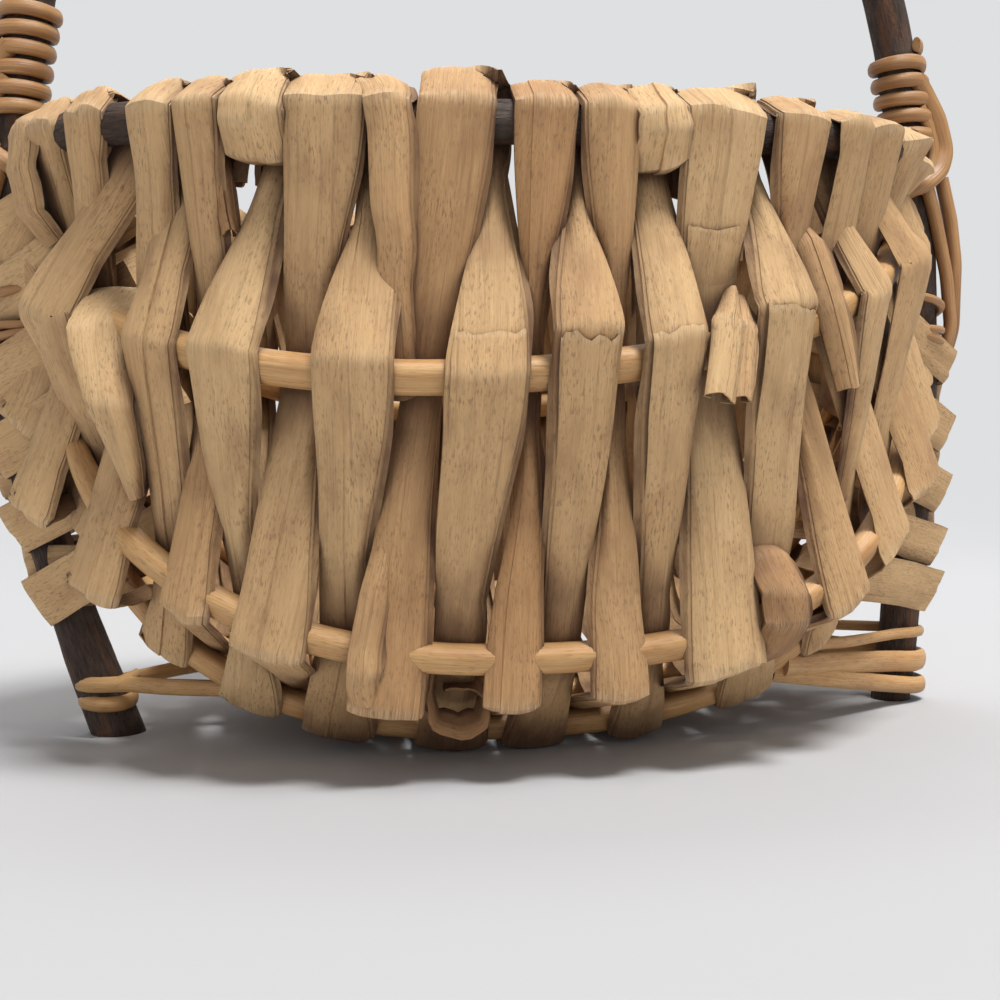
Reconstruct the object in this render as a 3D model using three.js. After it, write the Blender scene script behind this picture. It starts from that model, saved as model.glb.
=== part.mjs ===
import * as THREE from "three";

// Footed rib basket, in millimetres: X runs along the basket, the front is at -Y, +Z is up.
// One bent twig makes the handle and both feet, a second twig makes the rim, round rods make
// the ribs and the keel, and flat leaf strips weave over and under them from rim to rim.

// Rim hoop, measured on its centre line
const RIM_HALF_LENGTH = 126;
const RIM_HALF_DEPTH = 86;
const RIM_HEIGHT_MIDDLE = 157;
const RIM_HEIGHT_ENDS = 166;
const RIM_SQUARENESS = 2.15;
const RIM_DIAMETER = 10.5;

// Handle twig, widest at the spring of its arch, whose two ends lean in to the feet
const TWIG_DIAMETER = 12.4;
const HANDLE_HEIGHT = 345;
const ARCH_SPRING_HEIGHT = 112;
const ARCH_SQUARENESS = 2.4;
const LEFT_FOOT_LEAN = 28;
const RIGHT_FOOT_LEAN = 10;

// Ribs and keel, measured on their centre lines at the middle of the basket
const UPPER_RIB_DIAMETER = 8.6;
const UPPER_RIB_HALF_DEPTH = 91;
const UPPER_RIB_HEIGHT = 98;
const UPPER_RIB_END_DROP = 14;
const UPPER_RIB_SQUARENESS = 2.1;
const FRONT_RIB_TILT = 9;
const LOWER_RIB_DIAMETER = 7.4;
const LOWER_RIB_HALF_DEPTH = 82;
const LOWER_RIB_HEIGHT = 30;
const LOWER_RIB_SQUARENESS = 2.35;
const BOTTOM_RIB_DIAMETER = 7;
const BOTTOM_RIB_HALF_DEPTH = 45;
const BOTTOM_RIB_SQUARENESS = 2.5;
const KEEL_SQUARENESS = 2.6;
const RIB_TIP_DIAMETER = 4;
const FAN_INSET = 4;
const FAN_HEIGHT = 118;

// Leaf strips
const STRIP_WIDTH = 16.5;
const END_STRIP_WIDTH = 8.5;
const STRIP_TAIL_WIDTH = 7;
const STRIP_TAIL_LENGTH = 12;
const STRIP_THICKNESS = 1.1;
const STRIP_CLEARANCE = 0.55;
const STRIP_SIDE_GAP = 1.2;
const ROWS_EACH_SIDE = 11;
const MIDDLE_ROW_SHIFT = 6;
const STRIP_TUCK = 2;
const WRAP_WIDTH = 13;
const WRAP_SKIRT = 12;
const WRAP_ROWS = { left: -6, right: 2 };

// Rattan bindings
const BINDING_DIAMETER = 4.8;
const BINDING_PITCH = 5.6;
const BINDING_CLEARANCE = 0.3;
const LEFT_WINDING_LOOPS = 6;
const RIGHT_WINDING_LOOPS = 5;
const WINDING_TAIL_LENGTH = 44;
const LEFT_FOOT_LOOPS = 2;
const LEFT_FOOT_PITCH = 5.4;
const LEFT_FOOT_TAIL = 14;
const RIGHT_FOOT_LOOPS = 3;
const RIGHT_FOOT_PITCH = 6.6;
const RIGHT_FOOT_TAIL = 24;
const FOOT_BINDING_HEIGHT = 6;
const LASHING_DIAMETER = 2.8;
const LASHING_CLEARANCE = 0.4;

// Touching rods keep this gap; the strips sag a little under the bottom ribs and clear the floor
const ROD_GAP = 0.3;
const WEAVE_SAG = 1;
const FLOOR_GAP = 0.2;

// Places along the ribs as shares of the way from the fan to the middle
const RIB_TIP_SHARE = 0.17;
const RIB_FULL_SHARE = 0.55;
const LASHING_SHARES = [0.19, 0.23];
const LAST_ROW_SHARE = 0.32;
const POST_WEAVE_HEIGHT = 42;
const CROSSING_START = 0.12;

// Facets
const ROD_SIDES = 7;
const TWIG_SIDES = 9;
const BINDING_SIDES = 6;
const LASHING_SIDES = 5;
const LOOP_STEPS = 16;
const ROD_STEPS = 30;
const ROW_STEPS = 4;

const RIB_HALF_LENGTH = RIM_HALF_LENGTH - FAN_INSET;
const UPPER_RIB_END_HEIGHT = RIM_HEIGHT_ENDS - UPPER_RIB_END_DROP;
const BOTTOM_HEIGHT = BOTTOM_RIB_DIAMETER / 2 + STRIP_CLEARANCE + STRIP_THICKNESS + WEAVE_SAG + FLOOR_GAP;
const ARCH_RISE = HANDLE_HEIGHT - TWIG_DIAMETER / 2 - ARCH_SPRING_HEIGHT;
const POST_AT_RIM = RIM_HALF_LENGTH + (RIM_DIAMETER + TWIG_DIAMETER) / 2 + ROD_GAP;
const POST_OFFSET = POST_AT_RIM / archSpread(RIM_HEIGHT_ENDS);

// Half width of the arch at a height, as a share of its half width at the spring
function archSpread(height) {
  const share = (height - ARCH_SPRING_HEIGHT) / ARCH_RISE;
  return (1 - share ** ARCH_SQUARENESS) ** (1 / ARCH_SQUARENESS);
}

const barkMaterial = new THREE.MeshStandardMaterial({ color: 0x3a2a20, roughness: 0.8, metalness: 0 });
const rodMaterial = new THREE.MeshStandardMaterial({ color: 0xb98a4e, roughness: 0.55, metalness: 0 });
const bindingMaterial = new THREE.MeshStandardMaterial({ color: 0xb5793c, roughness: 0.5, metalness: 0 });
const leafMaterial = new THREE.MeshStandardMaterial({ color: 0xb79a6c, roughness: 0.85, metalness: 0 });

const basket = new THREE.Group();

// Closed loft over rings of points; a hoop joins its last ring to its first
function loft(rings, hoop = false) {
  const sides = rings[0].length;
  const points = rings.flat();
  const triangles = [];
  const spans = hoop ? rings.length : rings.length - 1;
  for (let ring = 0; ring < spans; ring += 1) {
    const here = ring * sides;
    const there = ((ring + 1) % rings.length) * sides;
    for (let side = 0; side < sides; side += 1) {
      const next = (side + 1) % sides;
      triangles.push([here + side, here + next, there + next]);
      triangles.push([here + side, there + next, there + side]);
    }
  }
  if (!hoop) {
    const last = (rings.length - 1) * sides;
    for (let side = 1; side < sides - 1; side += 1) {
      triangles.push([0, side + 1, side]);
      triangles.push([last, last + side, last + side + 1]);
    }
  }
  let volume = 0;
  const cross = new THREE.Vector3();
  for (const [a, b, c] of triangles) {
    volume += cross.crossVectors(points[b], points[c]).dot(points[a]);
  }
  const index = volume > 0 ? triangles.flat() : triangles.flatMap(([a, b, c]) => [a, c, b]);
  const geometry = new THREE.BufferGeometry().setFromPoints(points);
  geometry.setIndex(index);
  geometry.computeVertexNormals();
  return geometry;
}

function tangentsOf(points, hoop = false) {
  const count = points.length;
  return points.map((point, place) => {
    const before = hoop ? points[(place + count - 1) % count] : points[Math.max(place - 1, 0)];
    const after = hoop ? points[(place + 1) % count] : points[Math.min(place + 1, count - 1)];
    return after.clone().sub(before).normalize();
  });
}

// Rings of a round rod along a centre line; the side vector is carried along without twisting
function roundRings(points, radiusAt, sides, hoop = false, firstSide = null) {
  const tangents = tangentsOf(points, hoop);
  const side = firstSide ? firstSide.clone() : new THREE.Vector3(0.31, 0.62, 0.72);
  return points.map((point, place) => {
    side.addScaledVector(tangents[place], -side.dot(tangents[place])).normalize();
    const other = new THREE.Vector3().crossVectors(tangents[place], side);
    const radius = radiusAt(place);
    return Array.from({ length: sides }, (_, corner) => {
      const turn = (2 * Math.PI * (corner + 0.5)) / sides;
      return point.clone()
        .addScaledVector(side, radius * Math.cos(turn))
        .addScaledVector(other, radius * Math.sin(turn));
    });
  });
}

function addPiece(name, geometry, material) {
  const mesh = new THREE.Mesh(geometry, material);
  mesh.name = name;
  basket.add(mesh);
}

// Rounded-square plan shared by the rim, the ribs and the keel: at angle 0 the along share is 0
// and the across share is 1, and at a quarter turn it is the other way round
function planShares(angle, squareness) {
  const sine = Math.sin(angle);
  const cosine = Math.cos(angle);
  const sum = Math.abs(sine) ** squareness + Math.abs(cosine) ** squareness;
  const reach = sum ** (-1 / squareness);
  return { along: sine * reach, across: cosine * reach };
}

function makeRim(side) {
  return {
    pointAt(angle) {
      const { along, across } = planShares(angle, RIM_SQUARENESS);
      const drop = (RIM_HEIGHT_MIDDLE - RIM_HEIGHT_ENDS) * across * across;
      const depth = side * RIM_HALF_DEPTH * across;
      return new THREE.Vector3(RIM_HALF_LENGTH * along, depth, RIM_HEIGHT_ENDS + drop);
    },
    radiusAt: () => RIM_DIAMETER / 2,
  };
}

function makeRib({ diameter, halfDepth, height, endHeight, squareness, tilt = 0, keel = false }) {
  return {
    keel,
    squareness,
    pointAt(angle) {
      const { along, across } = planShares(angle, squareness);
      const drop = (height - endHeight) * across;
      return new THREE.Vector3(RIB_HALF_LENGTH * along, halfDepth * across, endHeight + drop + tilt * along);
    },
    radiusAt(angle) {
      const { across } = planShares(angle, squareness);
      const share = THREE.MathUtils.smoothstep(across, RIB_TIP_SHARE, RIB_FULL_SHARE);
      return THREE.MathUtils.lerp(RIB_TIP_DIAMETER, diameter, share) / 2;
    },
  };
}

const upperRib = {
  diameter: UPPER_RIB_DIAMETER,
  height: UPPER_RIB_HEIGHT,
  endHeight: UPPER_RIB_END_HEIGHT,
  squareness: UPPER_RIB_SQUARENESS,
};
const lowerRib = {
  diameter: LOWER_RIB_DIAMETER,
  height: LOWER_RIB_HEIGHT,
  endHeight: FAN_HEIGHT,
  squareness: LOWER_RIB_SQUARENESS,
};
const bottomRib = {
  diameter: BOTTOM_RIB_DIAMETER,
  height: BOTTOM_HEIGHT,
  endHeight: FAN_HEIGHT,
  squareness: BOTTOM_RIB_SQUARENESS,
};
const ribsFrontToBack = {
  rib_front_upper: makeRib({ ...upperRib, halfDepth: -UPPER_RIB_HALF_DEPTH, tilt: FRONT_RIB_TILT }),
  rib_front_lower: makeRib({ ...lowerRib, halfDepth: -LOWER_RIB_HALF_DEPTH }),
  rib_front_bottom: makeRib({ ...bottomRib, halfDepth: -BOTTOM_RIB_HALF_DEPTH }),
  keel_rod: makeRib({ ...bottomRib, halfDepth: 0, squareness: KEEL_SQUARENESS, keel: true }),
  rib_back_bottom: makeRib({ ...bottomRib, halfDepth: BOTTOM_RIB_HALF_DEPTH }),
  rib_back_lower: makeRib({ ...lowerRib, halfDepth: LOWER_RIB_HALF_DEPTH }),
  rib_back_upper: makeRib({ ...upperRib, halfDepth: UPPER_RIB_HALF_DEPTH }),
};
const rods = [makeRim(-1), ...Object.values(ribsFrontToBack), makeRim(1)];

// Angle at which a rod's across share falls to the given share
function angleOfShare(share, squareness) {
  const along = (1 - share ** squareness) ** (1 / squareness);
  return Math.atan2(along, share);
}

// Ribs and keel, tapered to their tips at the fan
for (const [name, rib] of Object.entries(ribsFrontToBack)) {
  const limit = angleOfShare(RIB_TIP_SHARE, rib.squareness);
  const angles = Array.from({ length: ROD_STEPS + 1 }, (_, step) => limit * (2 * step / ROD_STEPS - 1));
  const points = angles.map((angle) => rib.pointAt(angle));
  const rings = roundRings(points, (place) => rib.radiusAt(angles[place]), ROD_SIDES);
  addPiece(name, loft(rings), rodMaterial);
}

// Rim hoop, one bent twig
const rimPoints = Array.from({ length: 2 * ROD_STEPS }, (_, step) => {
  const angle = (Math.PI * step) / ROD_STEPS;
  const side = Math.cos(angle) >= 0 ? 1 : -1;
  const folded = side > 0 ? angle : Math.PI - angle;
  return makeRim(-side).pointAt(folded);
});
const upward = new THREE.Vector3(0, 0, 1);
addPiece("rim_hoop", loft(roundRings(rimPoints, () => RIM_DIAMETER / 2, TWIG_SIDES, true, upward), true), barkMaterial);

// Centre line of the handle twig, from the left foot over the arch to the right foot
function footLine(side, lean) {
  const top = new THREE.Vector3(side * POST_OFFSET, 0, ARCH_SPRING_HEIGHT);
  const bend = new THREE.Vector3(side * POST_OFFSET, 0, ARCH_SPRING_HEIGHT * 0.7);
  const sole = new THREE.Vector3(side * (POST_OFFSET - lean), 0, 0);
  return new THREE.QuadraticBezierCurve3(sole, bend, top);
}
const footLines = { left: footLine(-1, LEFT_FOOT_LEAN), right: footLine(1, RIGHT_FOOT_LEAN) };

const archPoints = Array.from({ length: ROD_STEPS - 1 }, (_, step) => {
  const { along, across } = planShares(Math.PI * ((step + 1) / ROD_STEPS - 0.5), ARCH_SQUARENESS);
  return new THREE.Vector3(POST_OFFSET * along, 0, ARCH_SPRING_HEIGHT + ARCH_RISE * across);
});
const handlePoints = [
  ...footLines.left.getPoints(8),
  ...archPoints,
  ...footLines.right.getPoints(8).reverse(),
];
const handleRings = roundRings(handlePoints, () => TWIG_DIAMETER / 2, TWIG_SIDES, false, new THREE.Vector3(0, 1, 0));

// The soles are cut level with the floor
const handleTangents = tangentsOf(handlePoints);
for (const place of [0, handlePoints.length - 1]) {
  for (const corner of handleRings[place]) {
    corner.addScaledVector(handleTangents[place], -corner.z / handleTangents[place].z);
  }
}
addPiece("handle_hoop", loft(handleRings), barkMaterial);

// Centre of a post at a given height, on the foot or on the arch
function postAt(side, height) {
  if (height >= ARCH_SPRING_HEIGHT) {
    return new THREE.Vector3(side * POST_OFFSET * archSpread(height), 0, height);
  }
  const line = side < 0 ? footLines.left : footLines.right;
  let low = 0;
  let high = 1;
  for (let halving = 0; halving < 40; halving += 1) {
    const middle = (low + high) / 2;
    if (line.getPoint(middle).z < height) {
      low = middle;
    } else {
      high = middle;
    }
  }
  return line.getPoint(low);
}

// How far a rod bends away from its tangent at the edges of a strip of the given width
function bowUnder(rod, angle, width) {
  const centre = rod.pointAt(angle);
  const tangent = rod.pointAt(angle + 0.001).sub(rod.pointAt(angle - 0.001));
  const swing = width / 2 / (tangent.length() / 0.002);
  tangent.normalize();
  return Math.max(...[-swing, swing].map((turn) => {
    const edge = rod.pointAt(angle + turn).sub(centre);
    return edge.addScaledVector(tangent, -edge.dot(tangent)).length();
  }));
}

// Every rod that a row crosses, front rim to back rim, with the side that the row passes on;
// a row that passes outside the end wall takes the post in place of the keel
function rodsCrossed(angle, signs, width) {
  return rods.map((rod, place) => {
    const sign = signs[place];
    const point = rod.pointAt(angle);
    if (rod.keel && sign > 0 && point.z > POST_WEAVE_HEIGHT) {
      const side = Math.sign(angle);
      const rise = postAt(side, point.z + 1).sub(postAt(side, point.z - 1)).normalize();
      const tangent = rise.multiplyScalar(side);
      return { point: postAt(side, point.z), tangent, radius: TWIG_DIAMETER / 2, sign, post: true };
    }
    const tangent = rod.pointAt(angle + 0.001).sub(rod.pointAt(angle - 0.001)).normalize();
    const bow = sign < 0 ? bowUnder(rod, angle, width) : 0;
    return { point, tangent, radius: rod.radiusAt(angle) + bow, sign };
  });
}

// Centre line of a row that weaves over and under the rods, with its sideways direction
function weaveLine(angle, signs, width, halfThickness, clearance) {
  const crossed = rodsCrossed(angle, signs, width);
  const base = new THREE.CatmullRomCurve3(crossed.map((rod) => rod.point));
  const spans = crossed.length - 1;
  const stations = [0];
  for (let span = 0; span < spans; span += 1) {
    const steps = crossed[span].post || crossed[span + 1].post ? 2 * ROW_STEPS : ROW_STEPS;
    for (let step = 1; step <= steps; step += 1) {
      stations.push(span + step / steps);
    }
  }
  const samples = stations.map((station) => {
    const span = Math.min(Math.floor(station), spans - 1);
    const part = station - span;
    const blend = THREE.MathUtils.smoothstep(part, CROSSING_START, 1 - CROSSING_START);
    const [from, to] = [crossed[span], crossed[span + 1]];
    const forward = base.getTangent(station / spans);
    const sideways = from.tangent.clone().lerp(to.tangent, part);
    sideways.addScaledVector(forward, -sideways.dot(forward)).normalize();
    const outward = new THREE.Vector3().crossVectors(forward, sideways);
    const reachFrom = from.sign * (from.radius + halfThickness + clearance);
    const reachTo = to.sign * (to.radius + halfThickness + clearance);
    const reach = THREE.MathUtils.lerp(reachFrom, reachTo, blend);
    const centre = base.getPoint(station / spans).addScaledVector(outward, reach);
    const nearRim = Math.min(station, spans - station) < 0.5;
    return { centre, sideways, forward, outward, nearRim, openness: Math.abs(1 - 2 * blend) };
  });
  return { samples, first: crossed[0], last: crossed[spans] };
}

// Frame of the rim under a row's end: along the rim, out of the basket and down
function rimFrame(rim, outward, downward) {
  const out = outward.clone();
  out.addScaledVector(rim.tangent, -out.dot(rim.tangent)).normalize();
  const down = new THREE.Vector3().crossVectors(rim.tangent, out);
  down.multiplyScalar(Math.sign(down.dot(downward)));
  return { centre: rim.point, along: rim.tangent, out, down };
}

// Arc of a strip over the rim, from the outside to the inside, and its tail down the inside
function rimWrap(frame, reachOut, reachIn, tailLength) {
  const wrap = [];
  const arcSteps = 6;
  for (let step = 1; step <= arcSteps; step += 1) {
    const turn = (Math.PI * step) / arcSteps;
    const reach = THREE.MathUtils.lerp(reachOut, reachIn, step / arcSteps);
    const centre = frame.centre.clone()
      .addScaledVector(frame.out, reach * Math.cos(turn))
      .addScaledVector(frame.down, -reach * Math.sin(turn));
    wrap.push({ centre, sideways: frame.along, openness: 1 - step / arcSteps, tail: true });
  }
  const tip = wrap[arcSteps - 1].centre.clone().addScaledVector(frame.down, tailLength);
  wrap.push({ centre: tip, sideways: frame.along, openness: 0, tail: true });
  return wrap;
}

// Flat strip along a centre line
function stripRings(samples, widthAt) {
  const tangents = tangentsOf(samples.map((sample) => sample.centre));
  return samples.map((sample, place) => {
    const sideways = sample.sideways.clone();
    sideways.addScaledVector(tangents[place], -sideways.dot(tangents[place])).normalize();
    const outward = new THREE.Vector3().crossVectors(tangents[place], sideways);
    const halfWidth = widthAt(sample) / 2;
    const corners = [[-1, -1], [1, -1], [1, 1], [-1, 1]];
    return corners.map(([across, through]) => sample.centre.clone()
      .addScaledVector(sideways, across * halfWidth)
      .addScaledVector(outward, through * STRIP_THICKNESS / 2));
  });
}

// Stations of the rows along the upper rib, evenly spaced but for a shift of the middle ones
const measuringRib = ribsFrontToBack.rib_back_upper;
const lastRowAngle = angleOfShare(LAST_ROW_SHARE, UPPER_RIB_SQUARENESS);
const fineSteps = 2000;
const travelled = [0];
for (let step = 1; step <= fineSteps; step += 1) {
  const here = measuringRib.pointAt((lastRowAngle * step) / fineSteps);
  const before = measuringRib.pointAt((lastRowAngle * (step - 1)) / fineSteps);
  travelled.push(travelled[step - 1] + here.distanceTo(before));
}
const rowPitch = travelled[fineSteps] / ROWS_EACH_SIDE;

function rowAngle(row) {
  const station = row * rowPitch + MIDDLE_ROW_SHIFT * (1 - (row / ROWS_EACH_SIDE) ** 2);
  const step = travelled.findIndex((length) => length >= Math.abs(station) - 0.001);
  return (Math.sign(station) * lastRowAngle * step) / fineSteps;
}

// Nearest spacing between neighbouring rows sets how wide a strip is where two of them cross
const rimEndPitch = rowPitch * RIM_HALF_DEPTH / Math.hypot(UPPER_RIB_HALF_DEPTH, UPPER_RIB_END_HEIGHT - UPPER_RIB_HEIGHT);
const NECK_WIDTH = Math.min(rowPitch, rimEndPitch) - STRIP_SIDE_GAP;

// Rows alternate: one kind wraps over the rim from outside, the other ends tucked inside it
const halfStrip = STRIP_THICKNESS / 2;
const rimReach = RIM_DIAMETER / 2 + halfStrip + STRIP_CLEARANCE;

function floatWidth(widest) {
  return (sample) => {
    const narrowest = sample.tail ? STRIP_TAIL_WIDTH : NECK_WIDTH;
    return THREE.MathUtils.lerp(narrowest, widest, sample.openness);
  };
}

function weaverName(row) {
  if (row === 0) {
    return "weaver_middle";
  }
  const number = String(Math.abs(row)).padStart(2, "0");
  return row < 0 ? `weaver_left_${number}` : `weaver_right_${number}`;
}

const outsideAtRim = [1, -1, 1, -1, 1, -1, 1, -1, 1];
const insideAtRim = outsideAtRim.map((sign) => -sign);

for (let row = -ROWS_EACH_SIDE; row <= ROWS_EACH_SIDE; row += 1) {
  const angle = rowAngle(row);
  const overRim = Math.abs(row) % 2 === 1;
  const signs = overRim ? outsideAtRim : insideAtRim;
  const { across } = planShares(angle, UPPER_RIB_SQUARENESS);
  const widest = THREE.MathUtils.lerp(END_STRIP_WIDTH, STRIP_WIDTH, THREE.MathUtils.smoothstep(across, LAST_ROW_SHARE, 1));
  const { samples, first, last } = weaveLine(angle, signs, widest, halfStrip, STRIP_CLEARANCE);
  const start = samples[0];
  const finish = samples[samples.length - 1];
  const startFrame = rimFrame(first, start.outward, start.forward);
  const finishFrame = rimFrame(last, finish.outward, finish.forward.clone().negate());
  if (overRim) {
    const innerReach = rimReach + bowUnder(rods[0], angle, widest);
    const startWrap = rimWrap(startFrame, rimReach, innerReach, STRIP_TAIL_LENGTH).reverse();
    const finishWrap = rimWrap(finishFrame, rimReach, innerReach, STRIP_TAIL_LENGTH);
    const line = [...startWrap, ...samples, ...finishWrap];
    addPiece(weaverName(row), loft(stripRings(line, floatWidth(widest))), leafMaterial);
  } else {
    for (const sample of samples.filter((each) => each.nearRim)) {
      Object.assign(sample, { tail: true, openness: 0 });
    }
    const startTip = { ...start, centre: start.centre.clone().addScaledVector(startFrame.down, -STRIP_TUCK) };
    const finishTip = { ...finish, centre: finish.centre.clone().addScaledVector(finishFrame.down, -STRIP_TUCK) };
    const line = [startTip, ...samples, finishTip];
    addPiece(weaverName(row), loft(stripRings(line, floatWidth(widest))), leafMaterial);
  }
}

// Two short leaf ends folded over the rim at the front, on top of the strips beside them
const layer = STRIP_THICKNESS + STRIP_CLEARANCE;
const wrapReach = rimReach + layer;
for (const [name, row] of Object.entries(WRAP_ROWS)) {
  const angle = rowAngle(row);
  const { samples, first } = weaveLine(angle, outsideAtRim, WRAP_WIDTH, halfStrip, STRIP_CLEARANCE);
  const frame = rimFrame(first, samples[0].outward, samples[0].forward);
  const top = frame.centre.clone().addScaledVector(frame.out, wrapReach);
  const skirt = [WRAP_SKIRT, WRAP_SKIRT / 2, 0].map((drop) => (
    { centre: top.clone().addScaledVector(frame.down, drop), sideways: frame.along }
  ));
  const line = [...skirt, ...rimWrap(frame, wrapReach, wrapReach + layer, WRAP_SKIRT)];
  addPiece(`rim_wrap_${name}`, loft(stripRings(line, (sample) => (sample.tail ? STRIP_TAIL_WIDTH : WRAP_WIDTH))), leafMaterial);
}

// Least gap of a wound strand to itself, measured on points further apart along it than a bend
function leastSelfGap(points, diameter) {
  const lengths = [0];
  for (let place = 1; place < points.length; place += 1) {
    lengths.push(lengths[place - 1] + points[place].distanceTo(points[place - 1]));
  }
  let least = Infinity;
  for (let near = 0; near < points.length; near += 1) {
    for (let far = near + 1; far < points.length; far += 1) {
      if (lengths[far] - lengths[near] > 3 * diameter) {
        least = Math.min(least, points[near].distanceTo(points[far]) - diameter);
      }
    }
  }
  return least;
}

function addStrand(name, points, diameter, sides) {
  addPiece(name, loft(roundRings(points, () => diameter / 2, sides)), bindingMaterial);
  const fine = new THREE.CatmullRomCurve3(points).getPoints(points.length * 3);
  console.log(`${name}: least gap to itself ${leastSelfGap(fine, diameter).toFixed(2)} mm`);
}

// Loops round the post above the rim, whose lower end runs down the outside of the post
const coilRadius = (TWIG_DIAMETER + BINDING_DIAMETER) / 2 + BINDING_CLEARANCE;

function aroundPost(side, height, turn) {
  const centre = postAt(side, height);
  const rise = postAt(side, height + 0.5).sub(postAt(side, height - 0.5)).normalize();
  const front = new THREE.Vector3(0, -1, 0);
  const outer = new THREE.Vector3().crossVectors(front, rise).multiplyScalar(-side).negate();
  outer.multiplyScalar(Math.sign(outer.x * side));
  return centre
    .addScaledVector(outer, coilRadius * Math.cos(turn))
    .addScaledVector(front, coilRadius * Math.sin(turn));
}

for (const [name, side, loops] of [["left", -1, LEFT_WINDING_LOOPS], ["right", 1, RIGHT_WINDING_LOOPS]]) {
  const lowest = RIM_HEIGHT_ENDS + RIM_DIAMETER / 2 + BINDING_DIAMETER / 2 + BINDING_PITCH;
  const points = [];
  const tailSteps = 5;
  const bendTurn = Math.PI / 3;
  for (let step = 0; step < tailSteps; step += 1) {
    const drop = BINDING_DIAMETER + WINDING_TAIL_LENGTH * (1 - step / tailSteps);
    points.push(aroundPost(side, lowest - drop, 0));
  }
  points.push(aroundPost(side, lowest - BINDING_DIAMETER * 0.75, bendTurn * 0.15));
  points.push(aroundPost(side, lowest - BINDING_DIAMETER * 0.25, bendTurn * 0.5));
  const coilSteps = Math.round(loops * LOOP_STEPS);
  for (let step = 0; step <= coilSteps; step += 1) {
    const turn = bendTurn + (2 * Math.PI * step) / LOOP_STEPS;
    points.push(aroundPost(side, lowest + (BINDING_PITCH * step) / LOOP_STEPS, turn));
  }
  const end = points[points.length - 1];
  const heading = end.clone().sub(points[points.length - 2]).normalize();
  points.push(end.clone().addScaledVector(heading, BINDING_DIAMETER));
  addStrand(`handle_winding_${name}`, points, BINDING_DIAMETER, BINDING_SIDES);
}

// Loops round each foot, whose two ends run in towards the woven bottom
for (const [name, side, loops, pitch, tail] of [
  ["left", -1, LEFT_FOOT_LOOPS, LEFT_FOOT_PITCH, LEFT_FOOT_TAIL],
  ["right", 1, RIGHT_FOOT_LOOPS, RIGHT_FOOT_PITCH, RIGHT_FOOT_TAIL],
]) {
  const quarter = Math.PI / 2;
  const coilSteps = Math.round((loops + 0.5) * LOOP_STEPS);
  const points = [];
  for (let step = 0; step <= coilSteps; step += 1) {
    const turn = -quarter + (2 * Math.PI * step) / LOOP_STEPS;
    points.push(aroundPost(side, FOOT_BINDING_HEIGHT + (pitch * step) / LOOP_STEPS, turn));
  }
  const arriving = points[0].clone().sub(points[1]).normalize();
  const leaving = points[coilSteps].clone().sub(points[coilSteps - 1]).normalize();
  points.unshift(points[0].clone().addScaledVector(arriving, tail));
  points.push(points[coilSteps + 1].clone().addScaledVector(leaving, tail));
  addStrand(`foot_binding_${name}`, points, BINDING_DIAMETER, BINDING_SIDES);
}

// Thin rattan woven twice across the fan of rib tips, turning back over the rim
const halfLashing = LASHING_DIAMETER / 2;
const outsideAtPost = [1, -1, 1, 1, 1, 1, 1, -1, 1];
const lashingReach = RIM_DIAMETER / 2 + halfLashing + LASHING_CLEARANCE;
for (const [name, side] of [["left", -1], ["right", 1]]) {
  const [innerAngle, outerAngle] = LASHING_SHARES.map((share) => side * angleOfShare(share, UPPER_RIB_SQUARENESS));
  const outbound = weaveLine(innerAngle, insideAtRim, LASHING_DIAMETER, halfLashing, LASHING_CLEARANCE);
  const homeward = weaveLine(outerAngle, outsideAtPost, LASHING_DIAMETER, halfLashing, LASHING_CLEARANCE);
  const turnSteps = 5;
  const from = outbound.samples[outbound.samples.length - 1];
  const to = homeward.samples[homeward.samples.length - 1];
  const overTop = [];
  for (let step = 1; step < turnSteps; step += 1) {
    const share = step / turnSteps;
    const turn = Math.PI * (1 - share);
    const centre = outbound.last.point.clone().lerp(homeward.last.point, share);
    const outward = from.outward.clone().lerp(to.outward, share).normalize();
    const up = from.forward.clone().lerp(to.forward, share).normalize();
    overTop.push(centre
      .addScaledVector(outward, lashingReach * Math.cos(turn))
      .addScaledVector(up, lashingReach * Math.sin(turn)));
  }
  const start = outbound.samples[0];
  const finish = homeward.samples[0];
  const points = [
    start.centre.clone().addScaledVector(start.forward, -LASHING_DIAMETER * 1.5),
    ...outbound.samples.map((sample) => sample.centre),
    ...overTop,
    ...homeward.samples.map((sample) => sample.centre).reverse(),
    finish.centre.clone().addScaledVector(finish.forward, -LASHING_DIAMETER * 1.5),
  ];
  addStrand(`end_lashing_${name}`, points, LASHING_DIAMETER, LASHING_SIDES);
}

// The origin is on the floor under the middle of the basket's box
const box = new THREE.Box3().setFromObject(basket);
const middle = box.getCenter(new THREE.Vector3());
basket.position.set(-middle.x, -middle.y, -box.min.z);
basket.updateMatrixWorld(true);

export default basket;
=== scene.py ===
# %% [markdown]
# # A footed basket of leaf strips
# The basket is a rib basket: a bent twig makes the handle and both feet, a second twig makes the
# rim, peeled rods make the ribs, and flat dry leaves weave over and under them from rim to rim.
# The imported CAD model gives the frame. Each of its nodes gets a dressed piece here, close to the
# solid, and small leaves and strands that have no solid are added.

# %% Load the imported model
import math
from collections import namedtuple

import bpy
import numpy as np
from mathutils import Matrix, Vector, noise


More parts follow.
